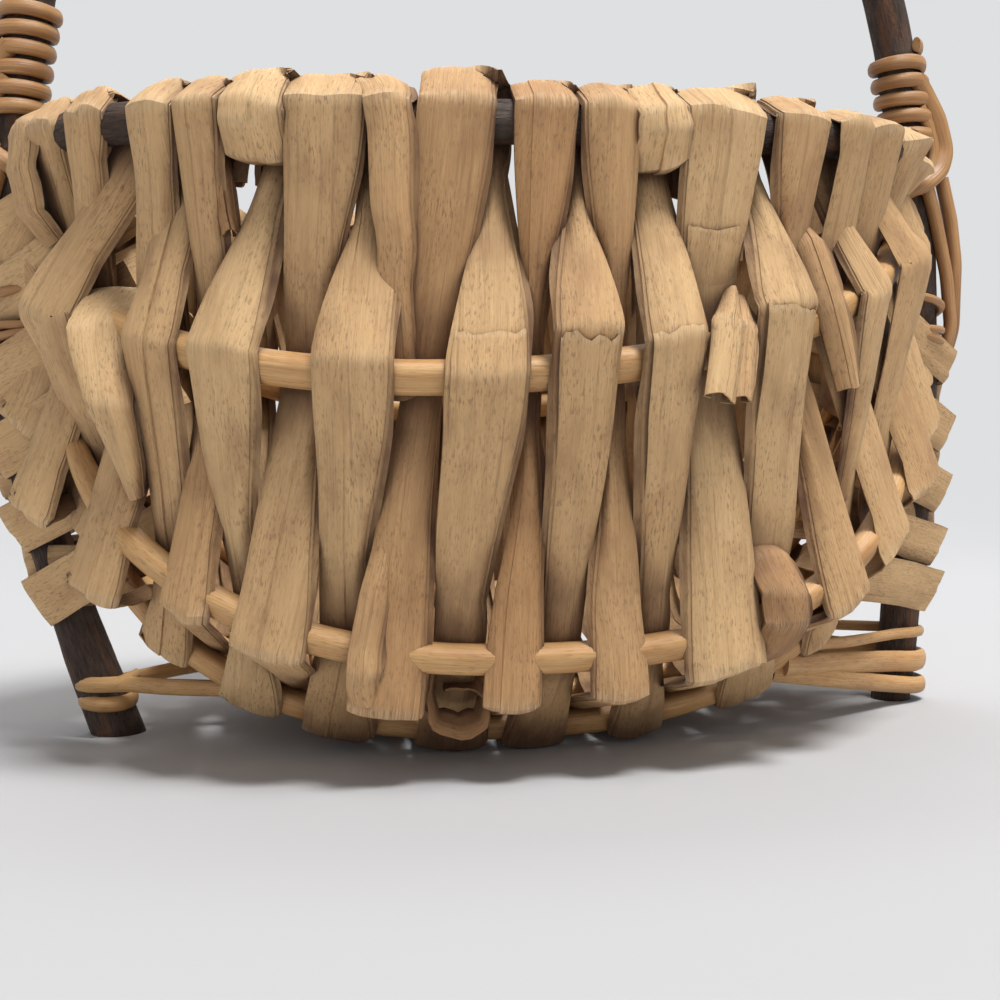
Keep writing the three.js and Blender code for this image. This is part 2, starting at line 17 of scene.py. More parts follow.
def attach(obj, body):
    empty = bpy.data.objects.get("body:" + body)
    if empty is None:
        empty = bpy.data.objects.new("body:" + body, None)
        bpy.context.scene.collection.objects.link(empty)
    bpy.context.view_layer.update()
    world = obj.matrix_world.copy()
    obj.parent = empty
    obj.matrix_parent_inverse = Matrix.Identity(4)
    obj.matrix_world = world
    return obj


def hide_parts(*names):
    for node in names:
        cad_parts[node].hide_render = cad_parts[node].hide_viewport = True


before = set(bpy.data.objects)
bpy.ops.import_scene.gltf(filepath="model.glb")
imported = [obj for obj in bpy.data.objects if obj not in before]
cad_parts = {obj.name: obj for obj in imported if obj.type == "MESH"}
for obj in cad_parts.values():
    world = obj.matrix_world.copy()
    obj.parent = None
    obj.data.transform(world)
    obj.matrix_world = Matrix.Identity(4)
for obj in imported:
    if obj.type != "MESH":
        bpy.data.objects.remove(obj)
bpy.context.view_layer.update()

MM = 0.001

# %% [markdown]
# ## Camera
# The picture is taken close to the basket, a little left of its middle and a little below the rim,
# so that the near ribs bow downwards. The camera is turned a few degrees to the right, so both
# posts stay in the frame and the top of the handle is cut off.

# %% Place the camera
CAMERA_PLACE = Vector((-0.0544, -0.3713, 0.0759))
CAMERA_TURN = math.radians(8.74)
CAMERA_TILT = math.radians(-1.47)
CAMERA_ROLL = math.radians(-0.76)
CAMERA_LENS = 44.1
CAMERA_SENSOR = 36
CAMERA_NEAR = 0.01

bpy.ops.object.select_all(action="DESELECT")
bpy.ops.object.camera_add(location=CAMERA_PLACE)
camera = bpy.context.object
turn = Matrix.Rotation(-CAMERA_TURN, 3, "Z")
tilt = Matrix.Rotation(math.radians(90) + CAMERA_TILT, 3, "X")
roll = Matrix.Rotation(CAMERA_ROLL, 3, "Z")
camera.rotation_euler = (turn @ tilt @ roll).to_euler()
camera.data.lens = CAMERA_LENS
camera.data.sensor_width = CAMERA_SENSOR
camera.data.clip_start = CAMERA_NEAR
bpy.context.scene.camera = camera
print("camera at", tuple(round(c, 3) for c in CAMERA_PLACE))

# %% [markdown]
# ## Colours and node helpers
# Colours are picked on a screen, as values from 0 to 255, but a shader works with linear light, so a
# small function converts them. The other helpers add a node, set its inputs and link it. Nodes could
# be placed by hand in the shader editor, but with helpers each material is a few readable lines.

# %% Colours and new materials
def colour(red, green, blue):
    def linear(value):
        share = value / 255
        return share / 12.92 if share <= 0.04045 else ((share + 0.055) / 1.055) ** 2.4
    return (linear(red), linear(green), linear(blue), 1.0)


def new_material(name):
    material = bpy.data.materials.new(name)
    material.use_nodes = True
    return material, material.node_tree


print("mid grey in linear light:", round(colour(128, 128, 128)[0], 3))

# %% Node helpers
def add_node(tree, kind, **inputs):
    item = tree.nodes.new(kind)
    for key, value in inputs.items():
        item.inputs[key].default_value = value
    return item


def math_node(tree, operation, first, second):
    item = tree.nodes.new("ShaderNodeMath")
    item.operation = operation
    for socket, value in zip(item.inputs, (first, second)):
        if isinstance(value, (int, float)):
            socket.default_value = value
        else:
            tree.links.new(value, socket)
    return item.outputs[0]


def remap(tree, value, low, high, new_low=0.0, new_high=1.0):
    item = add_node(tree, "ShaderNodeMapRange", **{
        "From Min": low, "From Max": high, "To Min": new_low, "To Max": new_high,
    })
    tree.links.new(value, item.inputs["Value"])
    return item.outputs["Result"]


# %% Mixing colours and shaders
def mix_colour(tree, share, first, second):
    item = tree.nodes.new("ShaderNodeMix")
    item.data_type = "RGBA"
    for name, value in (("Factor_Float", share), ("A_Color", first), ("B_Color", second)):
        socket = next(each for each in item.inputs if each.identifier == name)
        if isinstance(value, (int, float, tuple)):
            socket.default_value = value
        else:
            tree.links.new(value, socket)
    return next(each for each in item.outputs if each.identifier == "Result_Color")


def mix_shaders(tree, share, first, second, output):
    mix = add_node(tree, "ShaderNodeMixShader")
    tree.links.new(share, mix.inputs["Fac"])
    tree.links.new(first, mix.inputs[1])
    tree.links.new(second, mix.inputs[2])
    tree.links.new(mix.outputs["Shader"], output.inputs["Surface"])


# %% [markdown]
# ## Floor and backdrop
# A plain sheet that sweeps up behind the basket hides the edge between floor and wall. Two planes
# would show a line where they meet, so it is one plane: its far edge is extruded upwards, and a
# bevel rounds the corner. Near the basket the paper takes its shadow. Further away it fades to one
# plain colour, which only the camera and shiny or clear surfaces see, so that the light stays soft.

# %% Model the sweep
FLOOR_SIZE = 9.0
WALL_RISE = 3.0
WALL_PLACE = 1.8
SWEEP_ROUNDING = 1.2
SWEEP_SEGMENTS = 16
FLOOR_LEVEL = 0.01


def select_edges(piece, wanted):
    for edge in piece.data.edges:
        corners = [piece.data.vertices[index].co for index in edge.vertices]
        edge.select = all(wanted(corner) for corner in corners)


bpy.ops.object.select_all(action="DESELECT")
bpy.ops.mesh.primitive_plane_add(size=FLOOR_SIZE, location=(0, WALL_PLACE - FLOOR_SIZE / 2, 0))
sweep = bpy.context.object
sweep.name = "pale_sweep"
bpy.ops.object.mode_set(mode="EDIT")
bpy.ops.mesh.select_all(action="DESELECT")
bpy.ops.object.mode_set(mode="OBJECT")
select_edges(sweep, lambda corner: corner.y > 0)
bpy.ops.object.mode_set(mode="EDIT")
bpy.ops.mesh.select_mode(type="EDGE")
bpy.ops.mesh.extrude_region_move(TRANSFORM_OT_translate={"value": (0, 0, WALL_RISE)})
bpy.ops.object.mode_set(mode="OBJECT")
select_edges(sweep, lambda corner: corner.y > 0 and corner.z < FLOOR_LEVEL)
bpy.ops.object.mode_set(mode="EDIT")
bpy.ops.mesh.bevel(offset=SWEEP_ROUNDING, segments=SWEEP_SEGMENTS)
bpy.ops.object.mode_set(mode="OBJECT")
bpy.ops.object.transform_apply(location=True)
bpy.ops.object.shade_smooth()
print("sweep faces:", len(sweep.data.polygons))

# %% Paint the sweep
PAPER = colour(184, 184, 185)
PAPER_ROUGHNESS = 0.9
PLAIN_BACKGROUND = colour(223, 224, 225)
PLAIN_FROM = 0.45
PLAIN_BEYOND = 1.2


def seen_ray(tree):
    ray = add_node(tree, "ShaderNodeLightPath")
    share = ray.outputs["Is Camera Ray"]
    for kind in ("Is Glossy Ray", "Is Transmission Ray"):
        share = math_node(tree, "MAXIMUM", share, ray.outputs[kind])
    return share


sweep_paint, tree = new_material("pale_paper")
shader = tree.nodes["Principled BSDF"]
shader.inputs["Base Color"].default_value = PAPER
shader.inputs["Roughness"].default_value = PAPER_ROUGHNESS
paper_place = add_node(tree, "ShaderNodeTexCoord")
far_away = add_node(tree, "ShaderNodeVectorMath")
far_away.operation = "LENGTH"
tree.links.new(paper_place.outputs["Object"], far_away.inputs[0])
faded = add_node(tree, "ShaderNodeMapRange", **{"From Min": PLAIN_FROM, "From Max": PLAIN_BEYOND})
faded.interpolation_type = "SMOOTHSTEP"
tree.links.new(far_away.outputs["Value"], faded.inputs["Value"])
plain_share = math_node(tree, "MULTIPLY", faded.outputs["Result"], seen_ray(tree))
plain_paper = add_node(tree, "ShaderNodeEmission", Color=PLAIN_BACKGROUND)
mix_shaders(
    tree, plain_share, shader.outputs["BSDF"], plain_paper.outputs["Emission"],
    tree.nodes["Material Output"],
)
sweep.data.materials.append(sweep_paint)
print("paper nodes:", len(tree.nodes))

# %% [markdown]
# ## Light
# The basket stands in soft light from above. One large lamp hangs high, a little in front and to the
# right, so the shadow lies under the basket. A wide weak lamp fills the front, and a third one lights
# the backdrop. Area lamps are used because their size sets how soft a shadow's edge is. The air adds
# a little light from all sides.

# %% Hang the lamps
Lamp = namedtuple("Lamp", "name place aim size watts")
LAMPS = [
    Lamp("sky_lamp", (0.72, -0.95, 3.5), (0.0, 0.0, 0.0), 1.0, 150),
    Lamp("front_fill", (-0.5, -2.4, 1.2), (0.0, 0.5, 0.3), 2.0, 9),
    Lamp("wall_lamp", (0.0, 0.9, 2.6), (0.0, 2.4, 1.0), 1.6, 30),
]
for lamp in LAMPS:
    bpy.ops.object.light_add(type="AREA", location=lamp.place)
    light = bpy.context.object
    light.name = lamp.name
    light.data.size = lamp.size
    light.data.energy = lamp.watts
    aim = Vector(lamp.aim) - Vector(lamp.place)
    light.rotation_euler = aim.to_track_quat("-Z", "Y").to_euler()
print("lamps:", [lamp.name for lamp in LAMPS])

# %% Fill the air
AIR_COLOUR = (0.95, 0.97, 1.0, 1.0)
AIR_STRENGTH = 0.28

world = bpy.data.worlds.new("studio_air")
bpy.context.scene.world = world
world.use_nodes = True
air = world.node_tree
soft_air = air.nodes["Background"]
soft_air.inputs["Color"].default_value = AIR_COLOUR
soft_air.inputs["Strength"].default_value = AIR_STRENGTH
seen_air = add_node(air, "ShaderNodeBackground", Color=PLAIN_BACKGROUND)
mix_shaders(
    air, seen_ray(air), soft_air.outputs["Background"], seen_air.outputs["Background"],
    air.nodes["World Output"],
)
bpy.context.scene.view_settings.view_transform = "Standard"
print("air nodes:", len(air.nodes))

# %% [markdown]
# ## The frame's curves
# The rim, the ribs and the keel are rounded-square curves with the same sizes as in the CAD model,
# here in metres. Each one is a function of an angle that is zero at the middle of the basket.

# %% Rods, front to back
Rod = namedtuple("Rod", "length depth middle end power squareness tilt diameter")
RIM_ENDS = 0.166
UPPER_ENDS = 0.152
FAN_HEIGHT = 0.118
BOTTOM_HEIGHT = 0.00635
RIB_LENGTH = 0.122
FRONT_TILT = 0.009


def rim_rod(side):
    return Rod(0.126, side * 0.086, 0.157, RIM_ENDS, 2, 2.15, 0, 0.0105)


def upper_rod(side, tilt):
    return Rod(RIB_LENGTH, side * 0.091, 0.098, UPPER_ENDS, 1, 2.1, tilt, 0.0086)


def lower_rod(side):
    return Rod(RIB_LENGTH, side * 0.082, 0.030, FAN_HEIGHT, 1, 2.35, 0, 0.0074)


def bottom_rod(side):
    return Rod(RIB_LENGTH, side * 0.045, BOTTOM_HEIGHT, FAN_HEIGHT, 1, 2.5, 0, 0.007)


KEEL = Rod(RIB_LENGTH, 0, BOTTOM_HEIGHT, FAN_HEIGHT, 1, 2.6, 0, 0.007)
RODS = [
    rim_rod(-1), upper_rod(-1, FRONT_TILT), lower_rod(-1), bottom_rod(-1), KEEL,
    bottom_rod(1), lower_rod(1), upper_rod(1, 0), rim_rod(1),
]
KEEL_PLACE = RODS.index(KEEL)
print("rods from rim to rim:", len(RODS))

# %% Points on a rod
TANGENT_STEP = 0.001


def plan_shares(angle, squareness):
    sine, cosine = math.sin(angle), math.cos(angle)
    reach = (abs(sine) ** squareness + abs(cosine) ** squareness) ** (-1 / squareness)
    return sine * reach, cosine * reach


def angle_of_share(share, squareness):
    along = (1 - share ** squareness) ** (1 / squareness)
    return math.atan2(along, share)


def point_on(rod, angle):
    along, across = plan_shares(angle, rod.squareness)
    height = rod.end + (rod.middle - rod.end) * across ** rod.power + rod.tilt * along
    return np.array((rod.length * along, rod.depth * across, height))


def tangent_on(rod, angle):
    step = point_on(rod, angle + TANGENT_STEP) - point_on(rod, angle - TANGENT_STEP)
    return step / np.linalg.norm(step)


print("middle of the front rim in mm:", [round(c / MM, 1) for c in point_on(RODS[0], 0)])

# %% [markdown]
# ## Rows
# The leaves stand side by side along the basket. Even steps of the angle would crowd them at the ends,
# so the rows are spaced by length along the upper rib, as in the CAD model, and a row's number then
# gives the angle at which it crosses any rod. A number between two whole ones lies between two rows.

# %% Rows of leaves, spaced along the upper rib
ROWS_EACH_SIDE = 11
MIDDLE_ROW_SHIFT = 0.006
LAST_ROW_SHARE = 0.32
FINE_STEPS = 400
FINE_REACH = 1.15


def lengths_along(points):
    return np.concatenate([[0], np.cumsum(np.linalg.norm(np.diff(points, axis=0), axis=1))])


upper = RODS[-2]
last_angle = angle_of_share(LAST_ROW_SHARE, upper.squareness)
fine_angles = np.linspace(0, last_angle * FINE_REACH, FINE_STEPS)
fine_points = np.array([point_on(upper, angle) for angle in fine_angles])
fine_lengths = lengths_along(fine_points)
row_pitch = np.interp(last_angle, fine_angles, fine_lengths) / ROWS_EACH_SIDE


def row_angle(row):
    station = row * row_pitch + MIDDLE_ROW_SHIFT * (1 - (row / ROWS_EACH_SIDE) ** 2)
    return math.copysign(np.interp(abs(station), fine_lengths, fine_angles), station)


print("row pitch in mm:", round(row_pitch / MM, 2))

# %% [markdown]
# ## Posts
# The handle twig makes both posts: a wide arch above its spring, and below it a foot that leans in to
# the floor. Bindings and bands need to know where a post is at a height, so it is a function of that.

# %% Posts of the handle
TWIG_DIAMETER = 0.0124
HANDLE_HEIGHT = 0.345
SPRING_HEIGHT = 0.112
ARCH_SQUARENESS = 2.4
FOOT_LEANS = {-1: 0.028, 1: 0.010}
FOOT_BEND = 0.7
ROD_GAP = 0.0003
SIDE_WORDS = {-1: "left", 1: "right"}


def arch_spread(height):
    share = min((height - SPRING_HEIGHT) / arch_rise, 1)
    return (1 - share ** ARCH_SQUARENESS) ** (1 / ARCH_SQUARENESS)


def post_point(side, height):
    if height >= SPRING_HEIGHT:
        return np.array((side * post_spread * arch_spread(height), 0, height))
    share = height / SPRING_HEIGHT
    root = math.sqrt(FOOT_BEND * FOOT_BEND + (1 - 2 * FOOT_BEND) * share)
    part = (root - FOOT_BEND) / (1 - 2 * FOOT_BEND)
    return np.array((side * (post_spread - FOOT_LEANS[side] * (1 - part) ** 2), 0, height))


arch_rise = HANDLE_HEIGHT - TWIG_DIAMETER / 2 - SPRING_HEIGHT
post_at_rim = RODS[0].length + (RODS[0].diameter + TWIG_DIAMETER) / 2 + ROD_GAP
post_spread = post_at_rim / arch_spread(RIM_ENDS)
print("soles at", [round(post_point(side, 0)[0], 4) for side in SIDE_WORDS])

# %% [markdown]
# ## Sheets and tubes
# Every piece of this basket is long and thin: a flat leaf or a round rod that follows a path. Both
# start as a grid primitive whose rows are then laid along the path. A tube's two long edges are
# merged into a seam. The grid's own UV map is kept, but written in centimetres, so that grain has
# the same size on every piece.

# %% Lay a grid along its rings
def lay_grid(name, rings):
    rows, columns = rings.shape[0], rings.shape[1]
    bpy.ops.object.select_all(action="DESELECT")
    bpy.ops.mesh.primitive_grid_add(x_subdivisions=columns - 1, y_subdivisions=rows - 1, size=1)
    piece = bpy.context.object
    piece.name = name
    piece.data.name = name
    piece.data.vertices.foreach_set("co", rings.reshape(-1).astype(np.float32))
    piece.data.update()
    return piece


# %% Write values on a mesh
def write_uv(piece, across, along):
    mesh = piece.data
    corner = np.empty(len(mesh.loops), dtype=np.int32)
    mesh.loops.foreach_get("vertex_index", corner)
    uv = np.stack([across.reshape(-1)[corner], along.reshape(-1)[corner]], axis=1)
    mesh.uv_layers[0].data.foreach_set("uv", uv.reshape(-1).astype(np.float32))


def write_value(piece, name, values):
    attribute = piece.data.attributes.new(name, "FLOAT", "POINT")
    attribute.data.foreach_set("value", values.reshape(-1).astype(np.float32))


# %% Finish a piece and give it to the frame
def apply_modifier(piece, kind, **settings):
    bpy.context.view_layer.objects.active = piece
    modifier = piece.modifiers.new(kind.lower(), kind)
    for key, value in settings.items():
        setattr(modifier, key, value)
    bpy.ops.object.modifier_apply(modifier=modifier.name)


def dress(piece, material, slot, *nodes):
    piece.data.materials.append(material)
    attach(piece, "root")
    if nodes:
        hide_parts(*nodes)
    return piece


# %% Follow a path without twisting
def directions(points, hoop=False):
    if hoop:
        steps = np.roll(points, -1, axis=0) - np.roll(points, 1, axis=0)
    else:
        steps = np.gradient(points, axis=0)
    return steps / np.linalg.norm(steps, axis=1)[:, None]


def resample(points, step):
    travel = lengths_along(points)
    count = max(int(travel[-1] / step), 2) + 1
    places = np.linspace(0, travel[-1], count)
    return np.stack([np.interp(places, travel, points[:, axis]) for axis in range(3)], axis=1)


def smooth(values, spread):
    reach = math.ceil(3 * spread)
    kernel = np.exp(-0.5 * (np.arange(-reach, reach + 1) / spread) ** 2)
    kernel = kernel / kernel.sum()
    before = 2 * values[:1] - values[reach:0:-1]
    after = 2 * values[-1:] - values[-2:-reach - 2:-1]
    padded = np.concatenate([before, values, after])
    axes = [np.convolve(padded[:, axis], kernel, "valid") for axis in range(values.shape[1])]
    return np.stack(axes, axis=1)


# %% Roll a grid into a tube, round or flattened
UV_PER_METRE = 100
SEAM_TOUCH = 1e-6
TUBE_SHARP_ANGLE = math.radians(50)
FIRST_SIDE = (0.31, 0.62, 0.72)


def tube(name, points, radius_at, sides, hoop=False, seed=0.0, wide=None, flatness=1.0):
    points = np.asarray(points)
    ahead = directions(points, hoop)
    side = np.cross(ahead[0], FIRST_SIDE)
    travel = lengths_along(points)
    turns = np.linspace(0, 2 * math.pi, sides + 1)
    rings = np.empty((len(points), sides + 1, 3))
    for place, point in enumerate(points):
        side = side if wide is None else wide[place]
        side = side - ahead[place] * np.dot(side, ahead[place])
        side = side / np.linalg.norm(side)
        other = np.cross(ahead[place], side) * flatness
        for corner, angle in enumerate(turns[:-1]):
            radius = radius_at(travel[place], angle)
            rings[place, corner] = point + radius * (math.cos(angle) * side + math.sin(angle) * other)
        rings[place, -1] = rings[place, 0]
    if hoop:
        rings = np.concatenate([rings, rings[:1]])
        travel = np.append(travel, travel[-1] + np.linalg.norm(points[0] - points[-1]))
    piece = lay_grid(name, rings)
    mean_radius = radius_at(travel[len(travel) // 2], 0)
    across = np.tile(turns * mean_radius * UV_PER_METRE, (len(rings), 1))
    along = np.tile((travel * UV_PER_METRE + seed)[:, None], (1, sides + 1))
    write_uv(piece, across, along)
    bpy.ops.object.mode_set(mode="EDIT")
    bpy.ops.mesh.select_all(action="SELECT")
    bpy.ops.mesh.remove_doubles(threshold=SEAM_TOUCH)
    if not hoop:
        bpy.ops.mesh.select_all(action="DESELECT")
        bpy.ops.mesh.select_mode(type="EDGE")
        bpy.ops.mesh.select_non_manifold()
        bpy.ops.mesh.fill_holes(sides=0)
    bpy.ops.mesh.select_all(action="SELECT")
    bpy.ops.mesh.normals_make_consistent(inside=False)
    bpy.ops.object.mode_set(mode="OBJECT")
    bpy.ops.object.shade_smooth_by_angle(angle=TUBE_SHARP_ANGLE)
    return piece


# %% [markdown]
# ## Grain
# Leaf, rod, rattan and bark all have long fibres. One node group makes them from a UV map in
# centimetres: fine fibres, broad bands and scattered dark specks. Each material sets the fibre's
# width and picks its own colours, so the grain is built only once.

# %% Noise drawn out along the fibres
def stretched_noise(tree, vector, across, along, detail=2.0, roughness=0.55):
    mapping = add_node(tree, "ShaderNodeMapping", Scale=(across, along, 1.0))
    tree.links.new(vector, mapping.inputs["Vector"])
    texture = add_node(tree, "ShaderNodeTexNoise", Scale=1.0, Detail=detail, Roughness=roughness)
    tree.links.new(mapping.outputs["Vector"], texture.inputs["Vector"])
    return texture.outputs["Fac"]


# %% The long-fibre group
fibres = bpy.data.node_groups.new("long_fibres", "ShaderNodeTree")
fibres.interface.new_socket("Vector", in_out="INPUT", socket_type="NodeSocketVector")
for output in ("Fibre", "Band", "Streak", "Speck", "Blotch"):
    fibres.interface.new_socket(output, in_out="OUTPUT", socket_type="NodeSocketFloat")
fibre_in = fibres.nodes.new("NodeGroupInput")
fibre_out = fibres.nodes.new("NodeGroupOutput")
place = fibre_in.outputs["Vector"]
fine = stretched_noise(fibres, place, 34.0, 1.1, 3.0, 0.7)
band = stretched_noise(fibres, place, 5.0, 0.22, 2.0)
streak = stretched_noise(fibres, place, 9.0, 0.2, 2.0)
blotch = stretched_noise(fibres, place, 1.0, 0.45, 3.0)
dots = stretched_noise(fibres, place, 22.0, 4.5, 2.0, 0.6)
patch = stretched_noise(fibres, place, 1.3, 0.6, 1.0)
dotted = remap(fibres, dots, 0.53, 0.66)
patchy = remap(fibres, patch, 0.35, 0.65, 0.15, 1.0)
speck = math_node(fibres, "MULTIPLY", dotted, patchy)
fibres.links.new(remap(fibres, fine, 0.3, 0.7), fibre_out.inputs["Fibre"])
fibres.links.new(remap(fibres, band, 0.32, 0.68), fibre_out.inputs["Band"])
fibres.links.new(remap(fibres, streak, 0.58, 0.7), fibre_out.inputs["Streak"])
fibres.links.new(speck, fibre_out.inputs["Speck"])
fibres.links.new(remap(fibres, blotch, 0.35, 0.7), fibre_out.inputs["Blotch"])


def add_fibres(tree, across=1.0, along=1.0):
    uv = add_node(tree, "ShaderNodeUVMap")
    uv.uv_map = "UVMap"
    mapping = add_node(tree, "ShaderNodeMapping", Scale=(across, along, 1.0))
    tree.links.new(uv.outputs["UV"], mapping.inputs["Vector"])
    group = add_node(tree, "ShaderNodeGroup")
    group.node_tree = fibres
    tree.links.new(mapping.outputs["Vector"], group.inputs["Vector"])
    return group.outputs


print("fibre group nodes:", len(fibres.nodes))

# %% [markdown]
# ## Finishing helpers
# The finishes of this basket are built alike: colours laid over each other where a mask is strong, a
# roughness that follows the fibres, and a fine bump. All but the bark also have painted shade in their
# nooks: the ambient occlusion node measures how closed in a spot is, and the colour is darkened there.

# %% Helpers for the finishes
NOOK_SAMPLES = 6


def toned(tree, under, mask, low, high, weak, strong, paint):
    return mix_colour(tree, remap(tree, mask, low, high, weak, strong), under, paint)


# Painted shade: darkens the colour where the ambient occlusion node finds a spot closed in.
def painted_nook_shade(tree, under, reach, low, high, most, paint):
    nook = add_node(tree, "ShaderNodeAmbientOcclusion", Distance=reach)
    nook.samples = NOOK_SAMPLES
    return toned(tree, under, nook.outputs["AO"], low, high, most, 0.0, paint)


def finish_paint(material, paint, rough, fibre, height, strength, distance):
    tree = material.node_tree
    shader = tree.nodes["Principled BSDF"]
    tree.links.new(paint, shader.inputs["Base Color"])
    tree.links.new(remap(tree, fibre, 0.0, 1.0, *rough), shader.inputs["Roughness"])
    bump = add_node(tree, "ShaderNodeBump", Strength=strength, Distance=distance)
    tree.links.new(height, bump.inputs["Height"])
    tree.links.new(bump.outputs["Normal"], shader.inputs["Normal"])
    print(material.name, "nodes:", len(tree.nodes))


# %% [markdown]
# ## Dry leaf
# The leaves are flattened sheaths that dried to beige: pale fibres on tan, brown blotches and streaks,
# fine dark specks, dirt and painted shade along the edges, painted shade where a leaf is bunched or
# tucked behind a rod, low near the floor and in nooks, and a painted highlight along each fold. The
# tone, the folds and the edges differ from place to place on a mesh, so they are stored there as
# attributes when the leaf is made, and the material reads them.

# %% Leaf material
leaf_paint, tree = new_material("dry_leaf")
grain = add_fibres(tree)


def leaf_value(tree, name):
    stored = add_node(tree, "ShaderNodeAttribute")
    stored.attribute_name = name
    return stored.outputs["Fac"]


tone = leaf_value(tree, "leaf_tone")
pale = mix_colour(tree, tone, colour(238, 202, 150), colour(208, 162, 110))
tan = mix_colour(tree, tone, colour(222, 182, 130), colour(186, 138, 92))
base = mix_colour(tree, grain["Fibre"], tan, pale)
banded = toned(tree, base, grain["Band"], 0.0, 0.6, 0.18, 0.0, colour(158, 116, 78))
stained = toned(tree, banded, grain["Blotch"], 0.4, 1.0, 0.0, 0.42, colour(150, 108, 72))
streaked = toned(tree, stained, grain["Streak"], 0.0, 1.0, 0.0, 0.3, colour(112, 78, 52))
# Dirt and painted shade: darker along edges and plies, and painted shade where a leaf is bunched, tucked
# behind a rod or low near the floor.
dirt_and_shade_share = remap(tree, grain["Blotch"], 0.0, 1.0, 0.2, 0.5)
dirt_and_shade_share = math_node(tree, "MULTIPLY", leaf_value(tree, "leaf_dirt_and_shade"), dirt_and_shade_share)
dirt_and_shade_toned = mix_colour(tree, dirt_and_shade_share, streaked, colour(92, 60, 40))
# Painted highlight along the folds, and the pale torn edge of a skin.
highlight_share = remap(tree, grain["Fibre"], 0.2, 1.0, 0.0, 0.4)
highlight_share = math_node(tree, "MULTIPLY", leaf_value(tree, "leaf_fold_highlight_and_tear"), highlight_share)
highlighted = mix_colour(tree, highlight_share, dirt_and_shade_toned, colour(240, 218, 182))
specked = toned(tree, highlighted, grain["Speck"], 0.0, 1.0, 0.0, 0.5, colour(98, 68, 46))
# Painted shade in nooks, from the ambient occlusion node.
nook_shaded = painted_nook_shade(tree, specked, 0.012, 0.3, 0.9, 0.8, colour(74, 44, 30))
height = math_node(tree, "ADD", grain["Fibre"], grain["Band"])
finish_paint(leaf_paint, nook_shaded, (0.85, 0.66), grain["Fibre"], height, 0.45, 0.0003)

# %% [markdown]
# ## Peeled rod
# The ribs are shoots with the bark peeled off: golden, with long soft streaks, worn patches and a few
# dark specks. A plain colour would look like plastic, so the same fibres are used, drawn out longer.

# %% Rod material
rod_paint, tree = new_material("peeled_rod")
grain = add_fibres(tree, 0.8, 0.6)
base = mix_colour(tree, grain["Fibre"], colour(200, 150, 92), colour(230, 190, 134))
shaded = toned(tree, base, grain["Band"], 0.0, 1.0, 0.6, 0.0, colour(188, 134, 78))
worn = toned(tree, shaded, grain["Blotch"], 0.5, 1.0, 0.0, 0.5, colour(164, 112, 64))
dotted = toned(tree, worn, grain["Speck"], 0.0, 1.0, 0.0, 0.4, colour(110, 76, 44))
# Painted shade in nooks, from the ambient occlusion node.
nook_shaded = painted_nook_shade(tree, dotted, 0.012, 0.2, 0.8, 0.6, colour(96, 58, 32))
finish_paint(rod_paint, nook_shaded, (0.55, 0.42), grain["Fibre"], grain["Fibre"], 0.35, 0.0002)

# %% [markdown]
# ## Rattan
# The bindings are split rattan, more orange than the rods and shinier, because the outer skin of the
# vine is hard and smooth. It is the rod's recipe with darker colours and a lower roughness.

# %% Rattan material
rattan_paint, tree = new_material("rattan_strand")
grain = add_fibres(tree, 0.9, 0.5)
base = mix_colour(tree, grain["Fibre"], colour(168, 118, 70), colour(214, 168, 110))
shaded = toned(tree, base, grain["Band"], 0.0, 1.0, 0.7, 0.0, colour(146, 96, 54))
worn = toned(tree, shaded, grain["Blotch"], 0.45, 1.0, 0.0, 0.6, colour(120, 72, 38))
# Painted shade in nooks, from the ambient occlusion node.
nook_shaded = painted_nook_shade(tree, worn, 0.006, 0.2, 0.8, 0.7, colour(72, 40, 22))
finish_paint(rattan_paint, nook_shaded, (0.48, 0.34), grain["Fibre"], grain["Fibre"], 0.4, 0.0002)

# %% [markdown]
# ## Bark
# The two twigs keep their bark: nearly black brown, with red-brown streaks and grey patches. Bark is
# rough across as well as along, so its fibres are short and wide, and its bump is the strongest.

# %% Bark material
bark_paint, tree = new_material("dark_bark")
grain = add_fibres(tree, 0.35, 1.4)
base = mix_colour(tree, grain["Fibre"], colour(34, 24, 19), colour(74, 52, 38))
streaked = toned(tree, base, grain["Band"], 0.55, 1.0, 0.0, 0.7, colour(112, 74, 48))
greyed = toned(tree, streaked, grain["Blotch"], 0.55, 1.0, 0.0, 0.6, colour(104, 92, 82))
height = math_node(tree, "ADD", grain["Fibre"], grain["Blotch"])
finish_paint(bark_paint, greyed, (0.85, 0.6), grain["Fibre"], height, 0.8, 0.0006)

# %% [markdown]
# ## Ribs and keel
# Seven peeled rods run from post to post. Each thins out towards its tips, where they all meet. A
# little slow noise on the radius keeps them from looking turned on a lathe.

# %% Thickness of a rod
RIB_TIP_SHARE = 0.17
RIB_FULL_SHARE = 0.55
RIB_TIP_DIAMETER = 0.004
FACE_TURN = math.radians(20)
FACE_POWER = 3
ROD_FULLNESS = 0.94
ROD_UNEVENNESS = 0.03
ROD_WAVES = 30


def ease(value, low, high):
    share = np.clip((value - low) / (high - low), 0, 1)
    return share * share * (3 - 2 * share)


def rod_radius(rod, angle):
    across = plan_shares(angle, rod.squareness)[1]
    if rod.power == 2:
        return rod.diameter / 2
    share = ease(across, RIB_TIP_SHARE, RIB_FULL_SHARE)
    return (RIB_TIP_DIAMETER + (rod.diameter - RIB_TIP_DIAMETER) * share) / 2


def whittled(number, travel, radii):
    def at(distance, turn):
        wave = noise.noise((distance * ROD_WAVES, number * 7.0, math.cos(turn) * 0.5))
        spin = turn - FACE_TURN
        faces = abs(math.cos(spin)) ** FACE_POWER + abs(math.sin(spin)) ** FACE_POWER
        fullness = ROD_FULLNESS * faces ** (-1 / FACE_POWER) + ROD_UNEVENNESS * wave
        return np.interp(distance, travel, radii) * fullness
    return at


print("keel in mm at its middle:", round(2 * rod_radius(KEEL, 0) / MM, 1))

